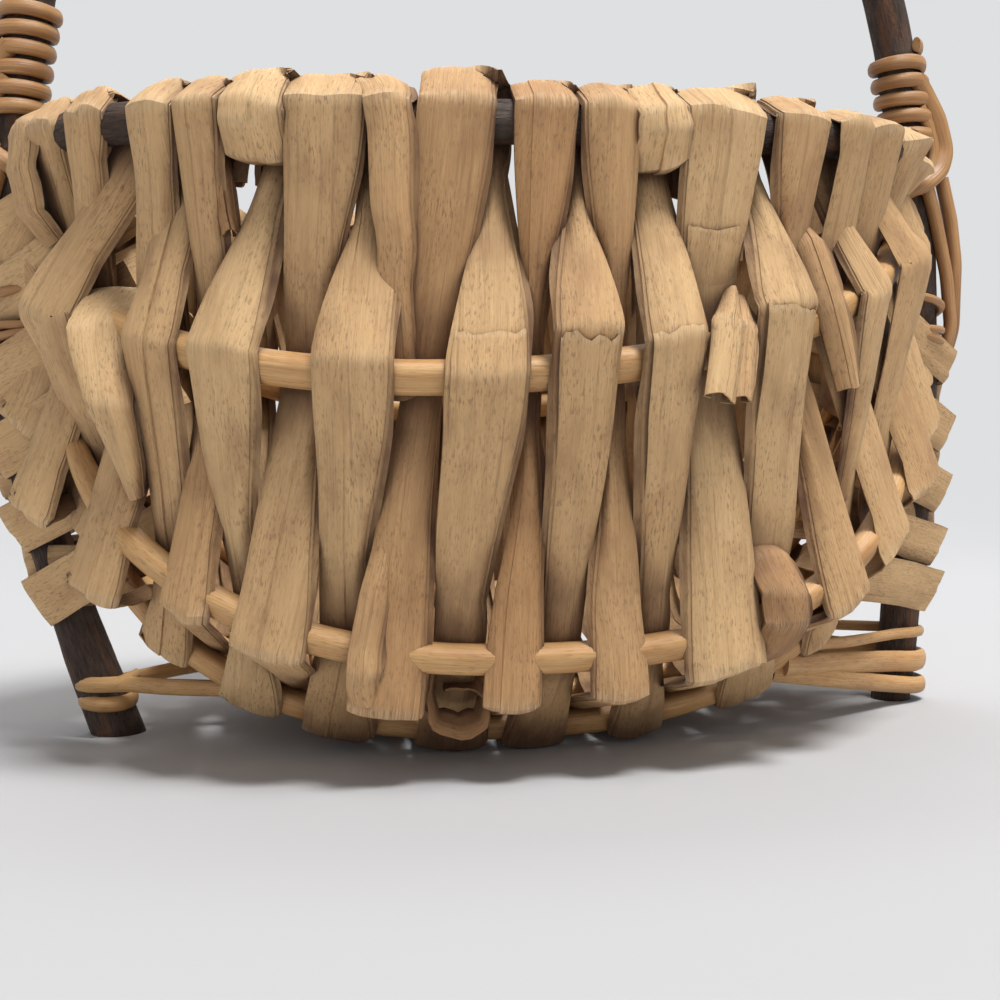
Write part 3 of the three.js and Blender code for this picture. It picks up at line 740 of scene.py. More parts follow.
# %% Roll the rods
RIB_NODES = [
    "rib_front_upper", "rib_front_lower", "rib_front_bottom", "keel_rod",
    "rib_back_bottom", "rib_back_lower", "rib_back_upper",
]
ROD_STEPS = 140
ROD_SIDES = 20
ROD_SEED = 31.0
NEAR_UPRIGHT = (0.05, 0.02, 1.0)
for number, node in enumerate(RIB_NODES):
    rod = RODS[number + 1]
    limit = angle_of_share(RIB_TIP_SHARE, rod.squareness)
    angles = np.linspace(-limit, limit, ROD_STEPS)
    points = np.array([point_on(rod, angle) for angle in angles])
    radii = np.array([rod_radius(rod, angle) for angle in angles])
    upright = np.tile(NEAR_UPRIGHT, (ROD_STEPS, 1))
    radius_at = whittled(number, lengths_along(points), radii)
    rod_piece = tube(node + "_peeled", points, radius_at, ROD_SIDES, seed=number * ROD_SEED, wide=upright)
    dress(rod_piece, rod_paint, "peeled_rod", node)
print("rods:", len(RIB_NODES))

# %% [markdown]
# ## Twigs
# The handle is one shoot with its bark on, from sole to sole, and the rim is a second one bent to a
# hoop. Bark swells at old buds, so the radius carries slow noise round and along, and a few knots.

# %% Bark that swells
BUTT_LENGTH = 0.035
KNOT_LENGTH = 0.005
KNOT_SWELL = 0.07
BARK_FULLNESS = 0.98
BARK_SWELL = 0.05
BARK_RIPPLE = 0.02
SWELL_ROUND, SWELL_ALONG = 0.9, 45
RIPPLE_ROUND, RIPPLE_ALONG = 2.5, 160


def bark_radius(radius, knots, seed, butt=0.0):
    def at(distance, turn):
        east, north = math.cos(turn), math.sin(turn)
        swell = noise.noise((east * SWELL_ROUND + seed, north * SWELL_ROUND, distance * SWELL_ALONG))
        ripple = noise.noise((east * RIPPLE_ROUND, north * RIPPLE_ROUND + seed, distance * RIPPLE_ALONG))
        knot = sum(math.exp(-((distance - centre) / KNOT_LENGTH) ** 2) for centre in knots)
        flare = butt * math.exp(-(distance / BUTT_LENGTH) ** 2)
        bark = BARK_FULLNESS + BARK_SWELL * swell + BARK_RIPPLE * ripple
        return radius * (bark + KNOT_SWELL * knot + flare)
    return at


print("a knot stands out by", round(KNOT_SWELL * TWIG_DIAMETER / 2 / MM, 2), "mm")

# %% Roll the handle and cut its soles level
HANDLE_STEP = 2.2 * MM
HANDLE_SIDES = 20
HANDLE_KNOTS = (0.05, 0.135, 0.21, 0.30, 0.39, 0.47, 0.56, 0.64)
BUTT_FLARE = 0.2
SOLE_OVERLENGTH = 3 * MM
FOOT_STEPS = 46
ARCH_STEPS = 150
HANDLE_SEED = 3.0
HANDLE_GRAIN = 5.0

foot_heights = np.linspace(0, SPRING_HEIGHT, FOOT_STEPS)
arch_angles = np.linspace(-math.pi / 2, math.pi / 2, ARCH_STEPS)[1:-1]
arch_shares = [plan_shares(angle, ARCH_SQUARENESS) for angle in arch_angles]
handle_line = np.concatenate([
    [post_point(-1, height) for height in foot_heights],
    [(post_spread * along, 0, SPRING_HEIGHT + arch_rise * across) for along, across in arch_shares],
    [post_point(1, height) for height in foot_heights[::-1]],
])
handle_line = resample(handle_line, HANDLE_STEP)
for end, near in ((0, 1), (-1, -2)):
    onward = handle_line[end] - handle_line[near]
    handle_line[end] += SOLE_OVERLENGTH * onward / np.linalg.norm(onward)
handle_bark = bark_radius(TWIG_DIAMETER / 2, HANDLE_KNOTS, HANDLE_SEED, BUTT_FLARE)
handle = tube("handle_twig", handle_line, handle_bark, HANDLE_SIDES, seed=HANDLE_GRAIN)
bpy.ops.object.mode_set(mode="EDIT")
bpy.ops.mesh.select_all(action="SELECT")
bpy.ops.mesh.bisect(plane_co=(0, 0, 0), plane_no=(0, 0, 1), use_fill=True, clear_inner=True)
bpy.ops.object.mode_set(mode="OBJECT")
dress(handle, bark_paint, "bark_twig", "handle_hoop")
print("handle line in mm:", round(lengths_along(handle_line)[-1] / MM))

# %% Roll the rim
RIM_STEPS = 240
RIM_SIDES = 18
RIM_KNOTS = (0.11, 0.3, 0.52)
RIM_SEED = 9.0

rim_line = []
for angle in np.linspace(0, 2 * math.pi, RIM_STEPS + 1)[:-1]:
    rim_side = 1 if math.cos(angle) >= 0 else -1
    folded = angle if rim_side > 0 else math.pi - angle
    rim_line.append(point_on(rim_rod(-rim_side), folded))
rim_bark = bark_radius(RODS[0].diameter / 2, RIM_KNOTS, RIM_SEED)
rim = tube("rim_twig", rim_line, rim_bark, RIM_SIDES, hoop=True)
dress(rim, bark_paint, "bark_twig", "rim_hoop")
print("rim faces:", len(rim.data.polygons))

# %% [markdown]
# ## The weave
# Each leaf runs from the front rim under the bottom to the back rim. A leaf is stiff: it goes straight
# from rod to rod and folds sharply over each one. Odd rows wrap over the rim and pass outside every
# second rod, and even rows do the opposite. A leaf is spread flat where it lies outside a rod and
# bunched where it lies inside, so that its neighbours close the gap.
# Leaves stray from even spacing. Where each one crosses the front rods is written per row.

# %% Leaves of the front, left to right: width in mm, then the row where they cross each front rod
Leaf = namedtuple("Leaf", "width rim upper lower bottom loft tone")
LEAVES = {
    -13: Leaf(19, -10.3, -11.6, -11.8, -12.2, 0.0, 0.4),
    -12: Leaf(18, -10.2, -12.4, -11.9, -12.0, 0.0, 0.5),
    -11: Leaf(15, -8.7, -10.4, -10.4, -10.6, 0.0, 0.4),
    -10: Leaf(17, -7.8, -10.1, -10.2, -9.9, 0.0, 0.4),
    -9: Leaf(16.5, -7.1, -7.9, -8.3, -8.5, 0.4, 0.35),
    -8: Leaf(15, -6.7, -7.5, -7.5, -7.2, 0.0, 0.4),
    -7: Leaf(13.5, -6.15, -6.5, -6.6, -6.7, 1.0, 0.6),
    -6: Leaf(17, -4.9, -6.0, -5.8, -5.5, 0.0, 0.0),
    -5: Leaf(18, -3.95, -4.5, -5.1, -5.0, 1.4, 0.5),
    -4: Leaf(18.5, -3.4, -3.7, -3.8, -3.9, 0.0, 0.3),
    -3: Leaf(17.5, -1.85, -2.6, -3.1, -3.1, 3.6, 0.85),
    -2: Leaf(18.5, -1.2, -1.5, -1.8, -1.8, 0.0, 0.35),
    -1: Leaf(14.2, -0.4, -0.7, -1.0, -1.0, 1.0, 0.95),
    0: Leaf(15.5, 0.3, 0.15, 0.0, -0.2, 0.0, 0.5),
    1: Leaf(13.6, 0.7, 0.8, 0.9, 0.9, 0.8, 0.75),
    2: Leaf(14.5, 1.6, 1.75, 1.85, 1.9, 0.0, 0.35),
    3: Leaf(21, 2.8, 2.85, 2.9, 2.9, 1.2, 0.15),
    4: Leaf(16.5, 3.75, 4.1, 4.2, 4.3, 0.0, 0.3),
    5: Leaf(16.5, 4.5, 4.6, 5.8, 5.4, 0.2, 0.6),
    6: Leaf(15, 5.4, 7.0, 6.4, 6.3, 0.0, 0.5),
    7: Leaf(18.5, 5.95, 6.3, 7.7, 7.4, -2.0, 0.45),
    8: Leaf(16.5, 7.0, 8.9, 8.6, 8.2, 0.0, 0.5),
    9: Leaf(17.5, 6.95, 8.0, 9.4, 9.2, -2.4, 0.5),
    10: Leaf(15, 9.0, 10.7, 10.2, 10.0, 0.0, 0.5),
    11: Leaf(15, 8.7, 10.0, 10.9, 11.0, -2.4, 0.45),
    12: Leaf(15, 11.0, 12.2, 11.9, 12.0, 0.0, 0.5),
    13: Leaf(15, 11.8, 12.0, 12.4, 12.6, -2.4, 0.4),
}
BACK_STRAY = 0.22


def rows_at_rods(row):
    leaf = LEAVES[row]
    front = [leaf.rim, leaf.upper, leaf.lower, leaf.bottom]
    under = [(row + leaf.bottom) / 2]
    back = [row + BACK_STRAY * noise.noise((row * 1.7, number * 2.3, 0.5)) for number in range(4)]
    return front + under + back


print("leaves:", len(LEAVES))

# %% Leaves that stand off the front ribs, fold above or below them, or turn to face the front
SWELL = {
    -13: 9, -12: 11, -11: 8, -10: 5, -9: 4, -5: 1, -4: 1, -3: 3, -1: 2, 0: 2,
    1: 2, 2: 1.5, 3: 2, 4: 1.5, 5: 1, 8: 2, 9: 3, 10: 2.5, 11: 6, 12: 5, 13: 9,
}
SAG = {
    -13: 12, -11: 18, -10: 4, -9: 15, -7: 4, -6: -2, -5: 4, -4: -3, -3: 12, -1: 9, 0: -9,
    1: 8, 2: -5, 3: 7, 4: -6, 5: 5, 7: 6, 9: 5, 10: 4, 11: 4, 12: 4, 13: 5,
}
FACING = {
    -13: 0.9, -12: 0.9, -11: 0.7, -10: 0.7, -9: 0.4,
    8: 0.5, 9: 0.5, 10: 0.7, 11: 0.7, 12: 0.9, 13: 0.9,
}
FRONT_RIBS = (1, 2)
FRONT_RODS = 3
print("leaves that stand off the ribs:", len(SWELL))

# %% Where a leaf crosses each rod, and which way is out there
OUTER_CLEARANCE = 2.4 * MM
INNER_CLEARANCE = 1.0 * MM
POST_WEAVE_HEIGHT = 42 * MM

Crossing = namedtuple("Crossing", "point tangent reach")


def crossings_of(places, signs):
    found = []
    for number, (rod, row, sign) in enumerate(zip(RODS, places, signs)):
        angle = row_angle(row)
        point = point_on(rod, angle)
        tangent = tangent_on(rod, angle)
        radius = rod_radius(rod, angle)
        if number == KEEL_PLACE and sign > 0 and point[2] > POST_WEAVE_HEIGHT:
            side = 1 if angle > 0 else -1
            rise = post_point(side, point[2] + MM) - post_point(side, point[2] - MM)
            tangent = side * rise / np.linalg.norm(rise)
            point = post_point(side, point[2])
            radius = TWIG_DIAMETER / 2
        clearance = OUTER_CLEARANCE if sign > 0 else INNER_CLEARANCE
        found.append(Crossing(point, tangent, sign * (radius + clearance)))
    return found


def outward_at(crossings, number):
    before = crossings[max(number - 1, 0)].point
    after = crossings[min(number + 1, len(crossings) - 1)].point
    ahead = (after - before) / np.linalg.norm(after - before)
    outward = np.cross(ahead, crossings[number].tangent)
    return outward / np.linalg.norm(outward), ahead


print("clearance outside and inside a rod in mm:", OUTER_CLEARANCE / MM, INNER_CLEARANCE / MM)

# %% A path: straight runs between corners that are a little rounded
PATH_STEP = 0.7 * MM
CORNER_ROUNDING = 0.9
TURN_ROUNDING = 6
KEEP_EVERY = 2

Path = namedtuple("Path", "corners places fine sideways station")


def line_at(wanted, places, points):
    return np.stack([np.interp(wanted, places, points[:, axis]) for axis in range(3)], axis=1)


def make_path(corners, sideways, places):
    corners, places = np.array(corners), np.array(places)
    travel = lengths_along(corners)
    steps = np.linspace(0, travel[-1], int(travel[-1] / PATH_STEP))
    fine = np.interp(steps, travel, places)
    turned = smooth(line_at(fine, places, np.array(sideways, dtype=float)), TURN_ROUNDING)
    return Path(corners, places, fine, turned[::KEEP_EVERY], fine[::KEEP_EVERY])


def thread(path, shifts):
    moved = path.corners + directions(path.corners) * np.reshape(shifts, (-1, 1))
    return smooth(line_at(path.fine, path.places, moved), CORNER_ROUNDING)[::KEEP_EVERY]


print("points of a path are apart by", round(KEEP_EVERY * PATH_STEP / MM, 1), "mm")

# %% Folds over the rim, where a leaf wraps it
TAIL_LENGTH = 14 * MM
TOP_FOLD = -0.5
RIM_LEAN = 4 * MM
RIM_FOLDS = [(-1.0, 0.3), (-0.85, -0.6), (0.0, -1.12), (1.06, -0.34)]


def rim_folds(crossing, outward, ahead, loft, first):
    out = outward - crossing.tangent * np.dot(outward, crossing.tangent)
    out = out / np.linalg.norm(out)
    down = np.cross(crossing.tangent, out)
    down = down * np.sign(np.dot(down, ahead if first else -ahead))
    reach = abs(crossing.reach)
    folds = [crossing.point + RIM_LEAN * crossing.tangent - out * reach + down * TAIL_LENGTH]
    for outer, lower in RIM_FOLDS:
        lift = loft if lower < TOP_FOLD else 0
        lean = RIM_LEAN * max(-outer, 0) * crossing.tangent
        folds.append(crossing.point + lean + out * outer * reach + down * (lower * reach - lift))
    return folds


print("folds over the rim:", len(RIM_FOLDS))

# %% The whole path of a leaf
TUCK = 4 * MM
TUCK_PLACE = 0.05


def leaf_path(row, signs, loft):
    crossings = crossings_of(rows_at_rods(row), signs)
    last = len(crossings) - 1
    corners, sideways, places = [], [], []

    def add(point, tangent, place):
        corners.append(point)
        sideways.append(tangent)
        places.append(place)

    for number, crossing in enumerate(crossings):
        outward, ahead = outward_at(crossings, number)
        if number < FRONT_RODS:
            turned = crossing.tangent + FACING.get(row, 0) * np.array((1.0, 0.0, 0.0))
            crossing = crossing._replace(tangent=turned / np.linalg.norm(turned))
        if number in (0, last) and crossing.reach > 0:
            folds = rim_folds(crossing, outward, ahead, loft, number == 0)
            shares = np.linspace(-1, 0, len(folds))
            if number == last:
                folds, shares = folds[::-1], -shares[::-1]
            for point, share in zip(folds, shares):
                add(point, crossing.tangent, number + share)
            continue
        corner = crossing.point + outward * crossing.reach
        if number in FRONT_RIBS and crossing.reach > 0:
            corner = corner + outward * SWELL.get(row, 0) * MM
            corner = corner + ahead * SAG.get(row, 0) * MM
        if number == 0:
            add(corner - ahead * TUCK, crossing.tangent, -TUCK_PLACE)
        add(corner, crossing.tangent, number)
        if number == last:
            add(corner + ahead * TUCK, crossing.tangent, last + TUCK_PLACE)
    return make_path(corners, sideways, places)


# %% [markdown]
# ## Cross-section of a leaf
# A leaf is a flattened sheath: slightly crowned, with one edge turned back and the thin plies of the
# other edge showing as steps. It could be a flat strip with a bump map, but the plies catch light and
# throw shadows, so they are modelled. Each lengthwise line of the sheet is folded a little before or
# after its neighbours, because a dry leaf doesn't fold along a ruler.

# %% Sizes of the cross-section
FACE_SHARES = np.sin(np.linspace(-math.pi / 2, math.pi / 2, 13))
CREASE_WIDTH = 0.03
CREASE_HEIGHT = 0.9 * MM
CREASE_REACH = 0.75
TURNED_EDGE = [(-1.6, -1.1), (-0.1, -0.85), (0.0, -0.4)]
PLIES = [(0.05, -0.3), (0.7, -0.45), (0.8, -0.8)]
UNDER_PLY = [(0.8, -0.95), (1.8, -1.1), (-1.6, -1.5)]


def leaf_creases(seed):
    creases = []
    for number in range(2):
        place = CREASE_REACH * noise.noise((seed * 3.3 + number * 5.1, 0.7, 0.2))
        height = CREASE_HEIGHT * noise.noise((seed * 1.9, number * 3.7 + 0.4, 6.0))
        creases.append((place, height))
    return creases


def leaf_columns(creases, layered):
    if not layered:
        return [("face", share) for share in FACE_SHARES]
    edges = [place + shift for place, height in creases for shift in (-CREASE_WIDTH, CREASE_WIDTH)]
    columns = [("turned", step) for step in TURNED_EDGE]
    columns += [("face", share) for share in np.sort(np.concatenate([FACE_SHARES, edges]))]
    columns += [("ply", step) for step in PLIES]
    return columns + [("under", step) for step in UNDER_PLY]


print("lines across a layered leaf:", len(leaf_columns(leaf_creases(0.0), True)))

# %% Waves that keep a leaf uneven
LeafWave = namedtuple("LeafWave", "rate apart layer across", defaults=(0.0,))
LEAF_WAVES = {
    "twist": LeafWave(22, 5.1, 1.0), "wander": LeafWave(20, 4.3, 5.0),
    "fine_edge": LeafWave(45, 2.7, 3.0), "broad_edge": LeafWave(16, 1.3, 7.0),
    "plies": LeafWave(16, 2.1, 4.4), "tone": LeafWave(0.03, 1.0, 4.0),
    "stray": LeafWave(1.7, 3.1, 0.3, 0.7), "ripple": LeafWave(35, 9.0, 2.0, 1.6),
}


def leaf_wave(kind, places, seed, share=0.0):
    wave = LEAF_WAVES[kind]
    second = share * wave.across + seed * wave.apart
    return np.array([noise.noise((place * wave.rate, second, wave.layer)) for place in places])


print("waves of a leaf:", list(LEAF_WAVES))

# %% Directions along a leaf
LEAF_TWIST = 0.12
NEAR_ROD = (0.04, 0.3)


def leaf_frame(path, seed):
    centre = thread(path, np.zeros(len(path.places)))
    ahead, travel = directions(centre), lengths_along(centre)
    side = path.sideways - ahead * np.sum(path.sideways * ahead, axis=1)[:, None]
    side = side / np.linalg.norm(side, axis=1)[:, None]
    out = np.cross(ahead, side)
    from_rod = np.abs(path.station - np.round(path.station))
    at_rod = 1 - ease(from_rod, *NEAR_ROD)
    twist = (LEAF_TWIST * leaf_wave("twist", travel, seed) * (1 - at_rod))[:, None]
    turned_side = side * np.cos(twist) + out * np.sin(twist)
    turned_out = out * np.cos(twist) - side * np.sin(twist)
    return travel, turned_side, turned_out, at_rod


# %% Edges, dirt and painted shade
# Darker edges and plies are partly dirt and partly painted shade. Painted shade also goes where a leaf is
# bunched, where it is tucked behind a rod, and low near the floor.
EDGE_DIRT_AND_SHADE = {"turned": 1.2, "ply": 1.2, "under": 2.0}
FACE_DIRT_AND_SHADE = 0.6
FACE_DIRT_AND_SHADE_POWER = 10
BUNCHED_SHADE = 0.8
TUCKED_SHADE = 1.5
FLOOR_SHADE = 1.3
FLOOR_SHADE_HEIGHTS = (8 * MM, 26 * MM)


def edge_offsets(kind, step, shift, lift, plies, at_rod):
    if kind == "turned":
        return shift - step[0] * MM, lift + step[1] * MM
    if kind == "ply":
        return shift + step[0] * plies, lift + step[1] * MM
    if kind == "under":
        beyond = np.where(step[0] > 1, step[0] - (step[0] - 1) * at_rod, step[0])
        return shift + beyond * plies, lift + step[1] * MM
    return shift, lift


# Adds painted shade where the leaf is bunched, tucked behind a rod or low near the floor to the edge
# darkening.
def with_painted_shade(dirt_and_shade, rings, bunched, tucked):
    dirt_and_shade = np.maximum(dirt_and_shade, BUNCHED_SHADE * bunched[:, None])
    dirt_and_shade = np.maximum(dirt_and_shade, TUCKED_SHADE * np.reshape(tucked, (-1, 1)))
    return np.maximum(dirt_and_shade, FLOOR_SHADE * (1 - ease(rings[..., 2], *FLOOR_SHADE_HEIGHTS)))


print("soil fades out at a height of", round(FLOOR_SHADE_HEIGHTS[1] / MM), "mm")

# %% Lay the sheet along its path
RAGGED_FINE = 0.05
RAGGED_BROAD = 0.08
LEAF_WANDER = 1.6 * MM
LEAF_RIPPLE = 0.25 * MM
FOLD_STRAY = 1.6 * MM
FOLD_HIGHLIGHT_FROM = 0.1
FOLD_HIGHLIGHT_RANGE = 0.25
PLY_REACH = 1.5 * MM
PLY_EVEN, PLY_UNEVEN = 0.75, 0.6
PLY_LIMIT = 0.35
CROWN = 1.2 * MM
CROWN_TOP = 0.4
CROWN_POWER = 2.4
BUNCHED_CROWN = 1.6 * MM
FLOOR_CLEARANCE = 0.6 * MM
EDGE_GRAIN = 0.05
LEAF_GRAIN = 37.0


def leaf_rings(
        path, halves, seed, ply_side=1, skew=0.0, layered=True, stray=FOLD_STRAY,
        crown=CROWN, raised=0.0, tucked=0.0):
    travel, side, out, at_rod = leaf_frame(path, seed)
    ragged = 1 + RAGGED_FINE * leaf_wave("fine_edge", travel, seed)
    ragged = ragged + RAGGED_BROAD * leaf_wave("broad_edge", travel, seed)
    wander = LEAF_WANDER * leaf_wave("wander", travel, seed) * (1 - at_rod)
    left, right = halves[0] * ragged, halves[1] * ragged
    plain_half, ply_half = (left, right) if ply_side > 0 else (right, left)
    plies = PLY_REACH * (PLY_EVEN + PLY_UNEVEN * leaf_wave("plies", travel, seed))
    plies = np.minimum(plies, ply_half * PLY_LIMIT) if layered else np.zeros(len(travel))
    creases = leaf_creases(seed)
    bunched = 1 - (left + right) / (left + right).max()
    crown = crown + BUNCHED_CROWN * bunched
    columns = leaf_columns(creases, layered)
    rings = np.empty((len(travel), len(columns), 3))
    across, highlight_and_tear, dirt_and_shade = (np.empty(rings.shape[:2]) for each in range(3))
    for column, (kind, step) in enumerate(columns):
        share = step if kind == "face" else (-1.0 if kind == "turned" else 1.0)
        shifts = stray * leaf_wave("stray", np.arange(len(path.places)), seed, share)
        line = thread(path, shifts + skew * share * ply_side * MM)
        lift = raised + crown * (CROWN_TOP - abs(share) ** CROWN_POWER)
        lift = lift + sum(height * (0.5 if share > spot else -0.5) for spot, height in creases)
        lift = lift + LEAF_RIPPLE * leaf_wave("ripple", travel, seed, share)
        shift = np.where(share > 0, (ply_half - plies) * share, plain_half * share)
        shift, lift = edge_offsets(kind, step, shift, lift, plies, at_rod)
        rings[:, column] = line + side * (shift * ply_side + wander)[:, None] + out * lift[:, None]
        depth = 0.0 if kind == "face" else (column + 1) * EDGE_GRAIN * MM
        across[:, column] = (shift + depth) * ply_side * UV_PER_METRE
        # Painted highlight where the leaf bends outwards at a fold.
        bend = -np.sum(np.gradient(directions(line), axis=0) * out, axis=1)
        highlight_and_tear[:, column] = np.clip((bend - FOLD_HIGHLIGHT_FROM) / FOLD_HIGHLIGHT_RANGE, 0, 1)
        # Edges and plies darker: dirt and painted shade.
        dirt_and_shade[:, column] = EDGE_DIRT_AND_SHADE.get(kind, FACE_DIRT_AND_SHADE * abs(share) ** FACE_DIRT_AND_SHADE_POWER)
    rings[..., 2] = np.maximum(rings[..., 2], FLOOR_CLEARANCE)
    along = np.tile((travel * UV_PER_METRE + seed * LEAF_GRAIN)[:, None], (1, len(columns)))
    layers = rings, across, along, highlight_and_tear, with_painted_shade(dirt_and_shade, rings, bunched, tucked)
    return layers if ply_side > 0 else tuple(layer[:, ::-1] for layer in layers)


# %% Make a leaf from its layers
LEAF_THICKNESS = 0.5 * MM
LEAF_SHARP_ANGLE = math.radians(35)
TONE_DRIFT = 0.25


def leaf_piece(name, layers, seed, tone, nodes=()):
    rings, across, along, highlight_and_tear, dirt_and_shade = layers
    piece = lay_grid(name, rings)
    write_uv(piece, across, along)
    tones = tone + TONE_DRIFT * leaf_wave("tone", np.arange(len(rings)), seed)
    write_value(piece, "leaf_tone", np.tile(tones[:, None], (1, rings.shape[1])))
    write_value(piece, "leaf_fold_highlight_and_tear", highlight_and_tear)
    write_value(piece, "leaf_dirt_and_shade", dirt_and_shade)
    apply_modifier(piece, "SOLIDIFY", thickness=LEAF_THICKNESS, offset=-1)
    bpy.ops.object.shade_smooth_by_angle(angle=LEAF_SHARP_ANGLE)
    return dress(piece, leaf_paint, "leaf_strip", *nodes)


# %% [markdown]
# ## Sharing the wall
# Between two rods the wall is a row of leaves lying side by side. Where one spreads, its neighbour
# is squeezed, so the line between them wanders but they never pass through each other. Only near a
# rod, where one lies outside and the other inside, may the inner one reach behind the outer one.
# At the two ends the leaves stand off the ribs and overlap like scales, so there they keep more width.

# %% Room beside a leaf
OUTSIDE_AT_RIM = [1, -1, 1, -1, 1, -1, 1, -1, 1]
SIDE_GAP = 1.1 * MM
INSIDE_LIMIT = 0.46


def row_signs(row):
    return [sign if row % 2 else -sign for sign in OUTSIDE_AT_RIM]


def room_beside(row, side, number):
    angles = [row_angle(rows_at_rods(each)[number]) for each in (row, row + side)]
    apart = np.linalg.norm(point_on(RODS[number], angles[1]) - point_on(RODS[number], angles[0]))
    return math.copysign(apart, (angles[1] - angles[0]) * side)


def half_at_rods(row, side):
    width = LEAVES[row].width * MM
    halves = []
    for number, sign in enumerate(row_signs(row)):
        half = width / 2
        if sign < 0 and row + side in LEAVES:
            half = room_beside(row, side, number) - LEAVES[row + side].width * MM / 2 - SIDE_GAP
        halves.append(min(half, width * (0.5 if sign > 0 else INSIDE_LIMIT)))
    return np.array(halves)


print("room right of the middle leaf in mm:", [round(half / MM, 1) for half in half_at_rods(0, 1)])

# %% Widths along a leaf
LEAST_SHARE = 0.11
BEHIND_SHARE = 0.24
SCALE_SHARE = 0.36
SCALE_ROW = 7
FLAT_RUN = 0.05
TAIL_SHARE = 0.65
TAIL_RUN = (0.6, 1.0)
PINCH_RUN = (0.3, 1.0)
TUCKED_RUN = (0.06, 0.42)
# Share of its half width that a leaf keeps near the rim, by row and side
PINCHED = {
    (-13, -1): 0.65, (-13, 1): 0.65, (-11, -1): 0.74, (-11, 1): 0.74, (-9, -1): 0.7, (-9, 1): 0.7,
    (-7, -1): 0.82, (-7, 1): 0.82, (-6, -1): 0.35,
    (7, -1): 0.78, (7, 1): 0.7, (9, -1): 0.85, (9, 1): 0.85,
}


def half_widths(row, path, side):
    last = len(RODS) - 1
    width = LEAVES[row].width * MM
    inner = np.clip(path.station, 0, last)
    below = np.minimum(np.floor(inner), last - 1).astype(int)
    share = np.clip((inner - below - FLAT_RUN) / (1 - 2 * FLAT_RUN), 0, 1)
    share = (share + ease(share, 0, 1)) / 2
    halves = half_at_rods(row, side)
    spread = halves[below] + (halves[below + 1] - halves[below]) * share
    behind = 1 - ease(np.abs(inner - np.round(inner)), *NEAR_ROD)
    least = LEAST_SHARE + (BEHIND_SHARE - LEAST_SHARE) * behind
    if abs(row) >= SCALE_ROW:
        least = np.full(len(inner), SCALE_SHARE)
    spread = np.maximum(spread, width * least)
    tail = np.maximum(-path.station, path.station - last)
    spread = spread * (1 - (1 - TAIL_SHARE) * ease(tail, *TAIL_RUN))
    pinch = PINCHED.get((row, side), 1.0)
    return spread * (pinch + (1 - pinch) * ease(path.station, *PINCH_RUN))


# Share of a leaf tucked behind its nearest rod, which gets painted shade.
def tucked_share(row, path):
    nearest = np.round(np.clip(path.station, 0, len(RODS) - 1)).astype(int)
    behind = 1 - ease(np.abs(path.station - nearest), *TUCKED_RUN)
    return behind * (np.array(row_signs(row))[nearest] < 0)


print("pinched edges:", len(PINCHED))

# %% Weave all the rows
def row_name(row):
    if row == 0:
        return "middle"
    return f"{SIDE_WORDS[-1 if row < 0 else 1]}_{abs(row):02d}"


LEAF_SEED = 14.5
PLAIN_ROW = 7
woven = {}
for row, leaf in LEAVES.items():
    path = leaf_path(row, row_signs(row), leaf.loft * MM)
    halves = half_widths(row, path, -1), half_widths(row, path, 1)
    woven[row] = path, halves
    nodes = [f"weaver_{row_name(row)}"] if abs(row) <= ROWS_EACH_SIDE else []
    seed = row + LEAF_SEED
    layers = leaf_rings(
        path, halves, seed, 1 if row < 0 else -1, layered=row < PLAIN_ROW, tucked=tucked_share(row, path),
    )
    leaf_piece(f"leaf_{row_name(row)}", layers, seed, leaf.tone, nodes)
print("woven leaves:", len(LEAVES))

# %% [markdown]
# ## Torn skins
# A few leaves have cracked where they fold, and their outer skin starts there with a torn pale edge.
# Each skin is a second, thinner sheet laid just above its leaf, cut from the leaf's own rings. Its first
# rings are pulled back by a different amount in each column, which gives the ragged edge.

# %% Lay the skins
Skin = namedtuple("Skin", "row start end")
SKINS = [
    Skin(-2, 0.80, 1.42), Skin(0, 1.0, 1.5), Skin(2, 0.93, 1.6), Skin(3, 0.42, 0.85), Skin(4, 0.96, 1.5),
]
SKIN_LIFT = 0.9 * MM
SKIN_MARGIN = 0.9 * MM
SKIN_SINK = 1.5 * MM
SKIN_FADE = 0.3
TEAR_RINGS = 3
TEAR_WAVES = 0.37
TEAR_JAGS = 1.3
TEAR_EVEN, TEAR_BROAD, TEAR_SMALL = 0.45, 0.6, 0.25
PALE_RINGS = 2


def torn_skin(skin):
    path, halves = woven[skin.row]
    seed = skin.row + LEAF_SEED
    narrow = [np.maximum(half - SKIN_MARGIN, MM) for half in halves]
    raised = SKIN_LIFT - SKIN_SINK * ease(path.station, skin.end - SKIN_FADE, skin.end)
    layers = leaf_rings(path, narrow, seed, 1 if skin.row < 0 else -1, layered=False, raised=raised)
    first, last = np.searchsorted(path.station, (skin.start, skin.end))
    rings, across, along, highlight_and_tear, dirt_and_shade = (layer[first:last].copy() for layer in layers)
    counts = np.arange(len(rings))
    for column in range(rings.shape[1]):
        broad_tear = noise.noise((column * TEAR_WAVES, skin.row * 2.7, 0.4))
        small_tear = noise.noise((column * TEAR_JAGS, skin.row * 5.3, 1.7))
        depth = TEAR_EVEN + TEAR_BROAD * broad_tear + TEAR_SMALL * small_tear
        tear = TEAR_RINGS * np.clip(depth, 0, 1)
        pulled = np.maximum(counts, tear + counts * (1 - tear / TEAR_RINGS))
        rings[:, column] = line_at(np.minimum(pulled, counts[-1]), counts, rings[:, column])
        along[:, column] = np.interp(np.minimum(pulled, counts[-1]), counts, along[:, column])
    highlight_and_tear[:PALE_RINGS] = 1.0
    dirt_and_shade[:PALE_RINGS] = 0.0
    tone = LEAVES[skin.row].tone
    return leaf_piece(f"torn_skin_{row_name(skin.row)}", (rings, across, along, highlight_and_tear, dirt_and_shade), seed, tone)


for skin in SKINS:
    torn_skin(skin)
print("torn skins:", len(SKINS))

